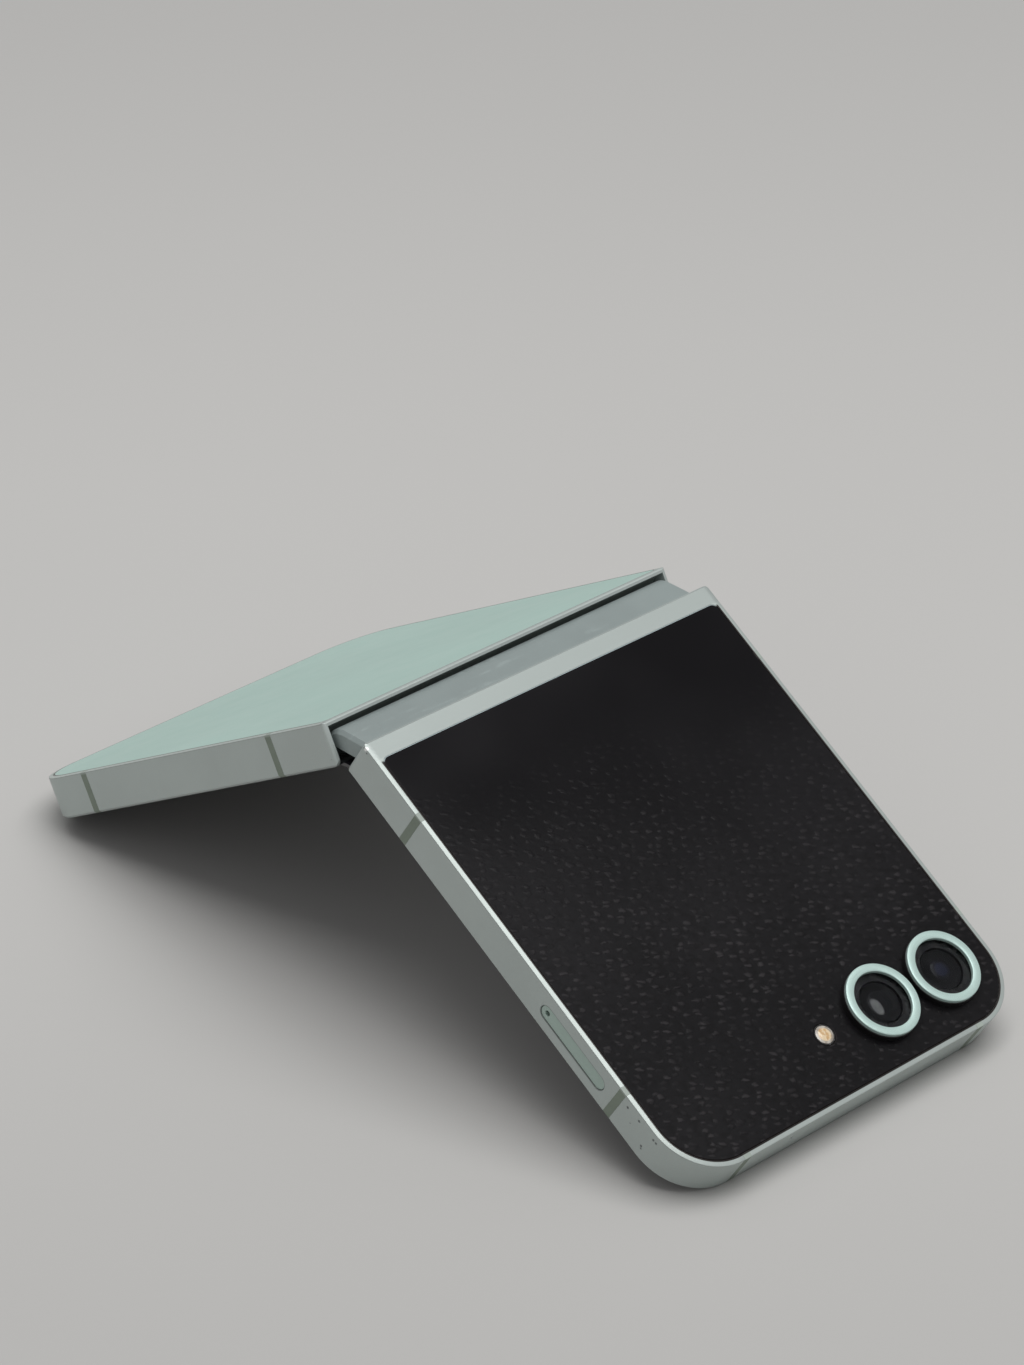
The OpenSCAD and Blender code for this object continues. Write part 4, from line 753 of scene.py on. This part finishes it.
def fold_strip(side, name, *replaced):
    """One side of the bent screen as posed: it lies along its half at the panel and bends by the hinge cover
    at the middle.
    """
    m = UPPER if side > 0 else LOWER
    radius, mid = BEND_RADIUS, BEND_MID
    reach = (PIVOT_X + (mid - PIVOT_V) * math.sin(FOLD)) / math.cos(FOLD)
    apex_v = PIVOT_V + reach * math.sin(FOLD) + (mid - PIVOT_V) * math.cos(FOLD)
    arc_z = PIVOT_Z - PIVOT_V + apex_v - radius / math.cos(FOLD)
    tangent_u = PIVOT_X - reach + radius * math.tan(FOLD)
    line = []
    for i in range(25):
        a = FOLD * i / 24
        line.append((Vector((side * radius * math.sin(a), 0, arc_z + radius * math.cos(a))) * MM,
                     Vector((side * math.sin(a), 0, math.cos(a)))))
    for i in range(1, 13):
        u = tangent_u + (BEND_END - tangent_u) * i / 12
        p = m @ Vector((u, 0, mid))
        line.append((p, Vector((side * math.sin(FOLD), 0, math.cos(FOLD)))))
    ys = [-BEND_WIDTH + 2 * BEND_WIDTH * k / 24 for k in range(25)]
    bm = bmesh.new()
    grid = []
    for h in (-0.5, 0.5):
        grid.append([[bm.verts.new(p + n * BEND_THICK * h * MM + Vector((0, y * MM, 0))) for y in ys]
                     for p, n in line])
    for g in grid:
        for a, b in zip(g, g[1:]):
            for k in range(len(ys) - 1):
                bm.faces.new((a[k], a[k + 1], b[k + 1], b[k]))
    for k in (0, len(ys) - 1):
        for a, b, c, d in zip(grid[0], grid[0][1:], grid[1], grid[1][1:]):
            bm.faces.new((a[k], b[k], d[k], c[k]))
    for i in (0, len(line) - 1):
        for k in range(len(ys) - 1):
            bm.faces.new((grid[0][i][k], grid[0][i][k + 1], grid[1][i][k + 1], grid[1][i][k]))
    bmesh.ops.recalc_face_normals(bm, faces=bm.faces)
    mesh = finish_mesh(bm, name, 40)
    o = bpy.data.objects.new(name, mesh)
    scene.collection.objects.link(o)
    mesh.materials.append(M["screen"])
    if replaced:
        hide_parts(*replaced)
    if side > 0:
        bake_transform(o)
    else:
        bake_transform(o)
    return o


fold_strip(1, "screen_fold_upper", "screen_fold")
fold_strip(-1, "screen_fold_lower")

# front camera behind the hole of the screen
cam = local(1, FRONT_CAMERA_U, 0)
eye = [(1.72, 0.27), (1.72, 0.62), (1.2, 0.62), (0.8, 0.8), (0.8, 1.1), (0, 1.1)]
lathe_piece("front_camera_eye", eye, cam, "barrel", "upper_half", steps=64, slot="black_plastic")
eye = [(0.78 * math.cos(math.radians(a)), 1.08 - 0.4 * math.sin(math.radians(a)))
       for a in range(0, 90, 15)] + [(0, 0.68)]
lathe_piece("front_camera_lens", eye, cam, "lens_front", "upper_half", steps=48, slot="camera_glass")

# ---------- port ----------
dressed("port_shell", "port_shell_pressed", "steel", 0.05, slot="steel")
dressed("port_tongue", "port_tongue_moulded", "part_black", 0.08, slot="black_plastic")
bm = bmesh.new()
for k in range(12):
    y = -2.75 + 0.5 * k
    for v in (PORT_V - 0.36, PORT_V + 0.32):
        rounded_box(bm, (HALF_LENGTH - 5.9, y - 0.12, v), (HALF_LENGTH - 1.5, y + 0.12, v + 0.04),
                    LOWER, 0.012, 1)
bmesh.ops.recalc_face_normals(bm, faces=bm.faces)
add("port_contacts", finish_mesh(bm, "port_contacts"), "gold", "lower_half", slot="brass")

# ---------- inner nodes keep their solids ----------
INNER = {
    "cover_screen": "part_black", "camera_module_wide": "barrel", "camera_module_ultrawide": "barrel",
    "upper_battery": "cell", "lower_battery": "cell", "main_board": "board", "lower_board": "board",
    "card_reader": "steel", "earpiece": "part_black", "front_camera": "barrel", "upper_magnets": "steel",
    "lower_magnets": "steel", "upper_hinge_arm_front": "steel", "upper_hinge_arm_rear": "steel",
    "lower_hinge_arm_front": "steel", "lower_hinge_arm_rear": "steel", "upper_screws": "steel",
    "lower_screws": "steel", "key_switches": "gold", "hinge_bracket_front": "steel",
    "hinge_bracket_rear": "steel", "hinge_pins": "steel", "bracket_screws": "steel",
    "idler_gears_upper": "brass", "idler_gears_lower": "brass", "charging_coil": "copper",
    "loudspeaker": "part_black", "vibration_motor": "steel",
}
for node, mat in INNER.items():
    o = nodes[node]
    o.data.materials.clear()
    o.data.materials.append(M[mat])

# ---------- floor, light, camera ----------
bm = bmesh.new()
bmesh.ops.create_grid(bm, x_segments=8, y_segments=8, size=6.0)
mesh = bpy.data.meshes.new("floor")
bm.to_mesh(mesh)
bm.free()
floor = bpy.data.objects.new("floor", mesh)
scene.collection.objects.link(floor)
s = Shader("floor_paper", Roughness=0.75)
s.bsdf.inputs["Specular IOR Level"].default_value = 0.15
paper = srgb(197, 196, 194)
# painted shade: the paper is a little darker far behind the phone and in front of it
away = s.node("VectorMath", operation="DOT_PRODUCT")
s.link(s.coords.outputs["Object"], away.inputs[0])
away.inputs[1].default_value = (-0.721, 0.693, 0)
sheet = s.mix(s.span(s.noise(3.0, 3), 0.3, 0.7), scaled(paper, 0.99), scaled(paper, 1.01))
sheet = s.mix(s.span(away.outputs["Value"], 0.02, -0.14), sheet, scaled(paper, 0.89))
s.color(s.mix(s.span(away.outputs["Value"], 0.12, 0.42), sheet, scaled(paper, 0.9)))
s.bump(s.noise(1800, 3), 0.00003, 0.3)
mesh.materials.append(s.mat)


def area_light(name, place, target, size, watts, color=(1, 1, 1)):
    data = bpy.data.lights.new(name, "AREA")
    data.shape = "RECTANGLE"
    data.size, data.size_y = size
    data.energy = watts
    data.color = color
    o = bpy.data.objects.new(name, data)
    scene.collection.objects.link(o)
    o.location = place
    o.rotation_euler = (Vector(target) - Vector(place)).to_track_quat("-Z", "Y").to_euler()
    return o


area_light("softbox_top", (0.2, 0.1, 1.5), (0, 0, 0), (1.4, 1.4), 17.5, (1.0, 0.998, 0.992))

world = bpy.data.worlds.new("studio")
scene.world = world
world.use_nodes = True
tree = world.node_tree
back = tree.nodes["Background"]
where = tree.nodes.new("ShaderNodeTexCoord")
split = tree.nodes.new("ShaderNodeSeparateXYZ")
ramp = tree.nodes.new("ShaderNodeValToRGB")
ramp.color_ramp.elements[0].position = 0.0
ramp.color_ramp.elements[0].color = (0.3, 0.3, 0.3, 1)
ramp.color_ramp.elements[1].position = 1.0
ramp.color_ramp.elements[1].color = (0.34, 0.34, 0.34, 1)
middle = ramp.color_ramp.elements.new(0.5)
middle.color = (0.38, 0.38, 0.385, 1)
tree.links.new(where.outputs["Generated"], split.inputs[0])
tree.links.new(split.outputs["Z"], ramp.inputs[0])
tree.links.new(ramp.outputs[0], back.inputs["Color"])
back.inputs["Strength"].default_value = 1.0

camera = bpy.data.cameras.new("photo_camera")
camera.sensor_width = 36
camera.sensor_fit = "AUTO"
camera.lens = 139.63
camera.clip_start, camera.clip_end = 0.01, 20
eye_object = bpy.data.objects.new("photo_camera", camera)
scene.collection.objects.link(eye_object)
scene.camera = eye_object
az, el, roll = math.radians(44.8943), math.radians(30.0616), math.radians(1.7133)
view_back = Vector((math.sin(az) * math.cos(el), -math.cos(az) * math.cos(el), math.sin(el)))
right = (-view_back).cross(Vector((0, 0, 1))).normalized()
up = right.cross(-view_back)
c, sn = math.cos(roll), math.sin(roll)
x_axis, y_axis = c * right + sn * up, -sn * right + c * up
eye_place = Vector((0.4857465, -0.4891317, 0.3987264 + PIVOT_Z * MM))
eye_object.matrix_world = Matrix((
    (x_axis.x, y_axis.x, view_back.x, eye_place.x), (x_axis.y, y_axis.y, view_back.y, eye_place.y),
    (x_axis.z, y_axis.z, view_back.z, eye_place.z), (0, 0, 0, 1)))

scene.view_settings.view_transform = "Standard"
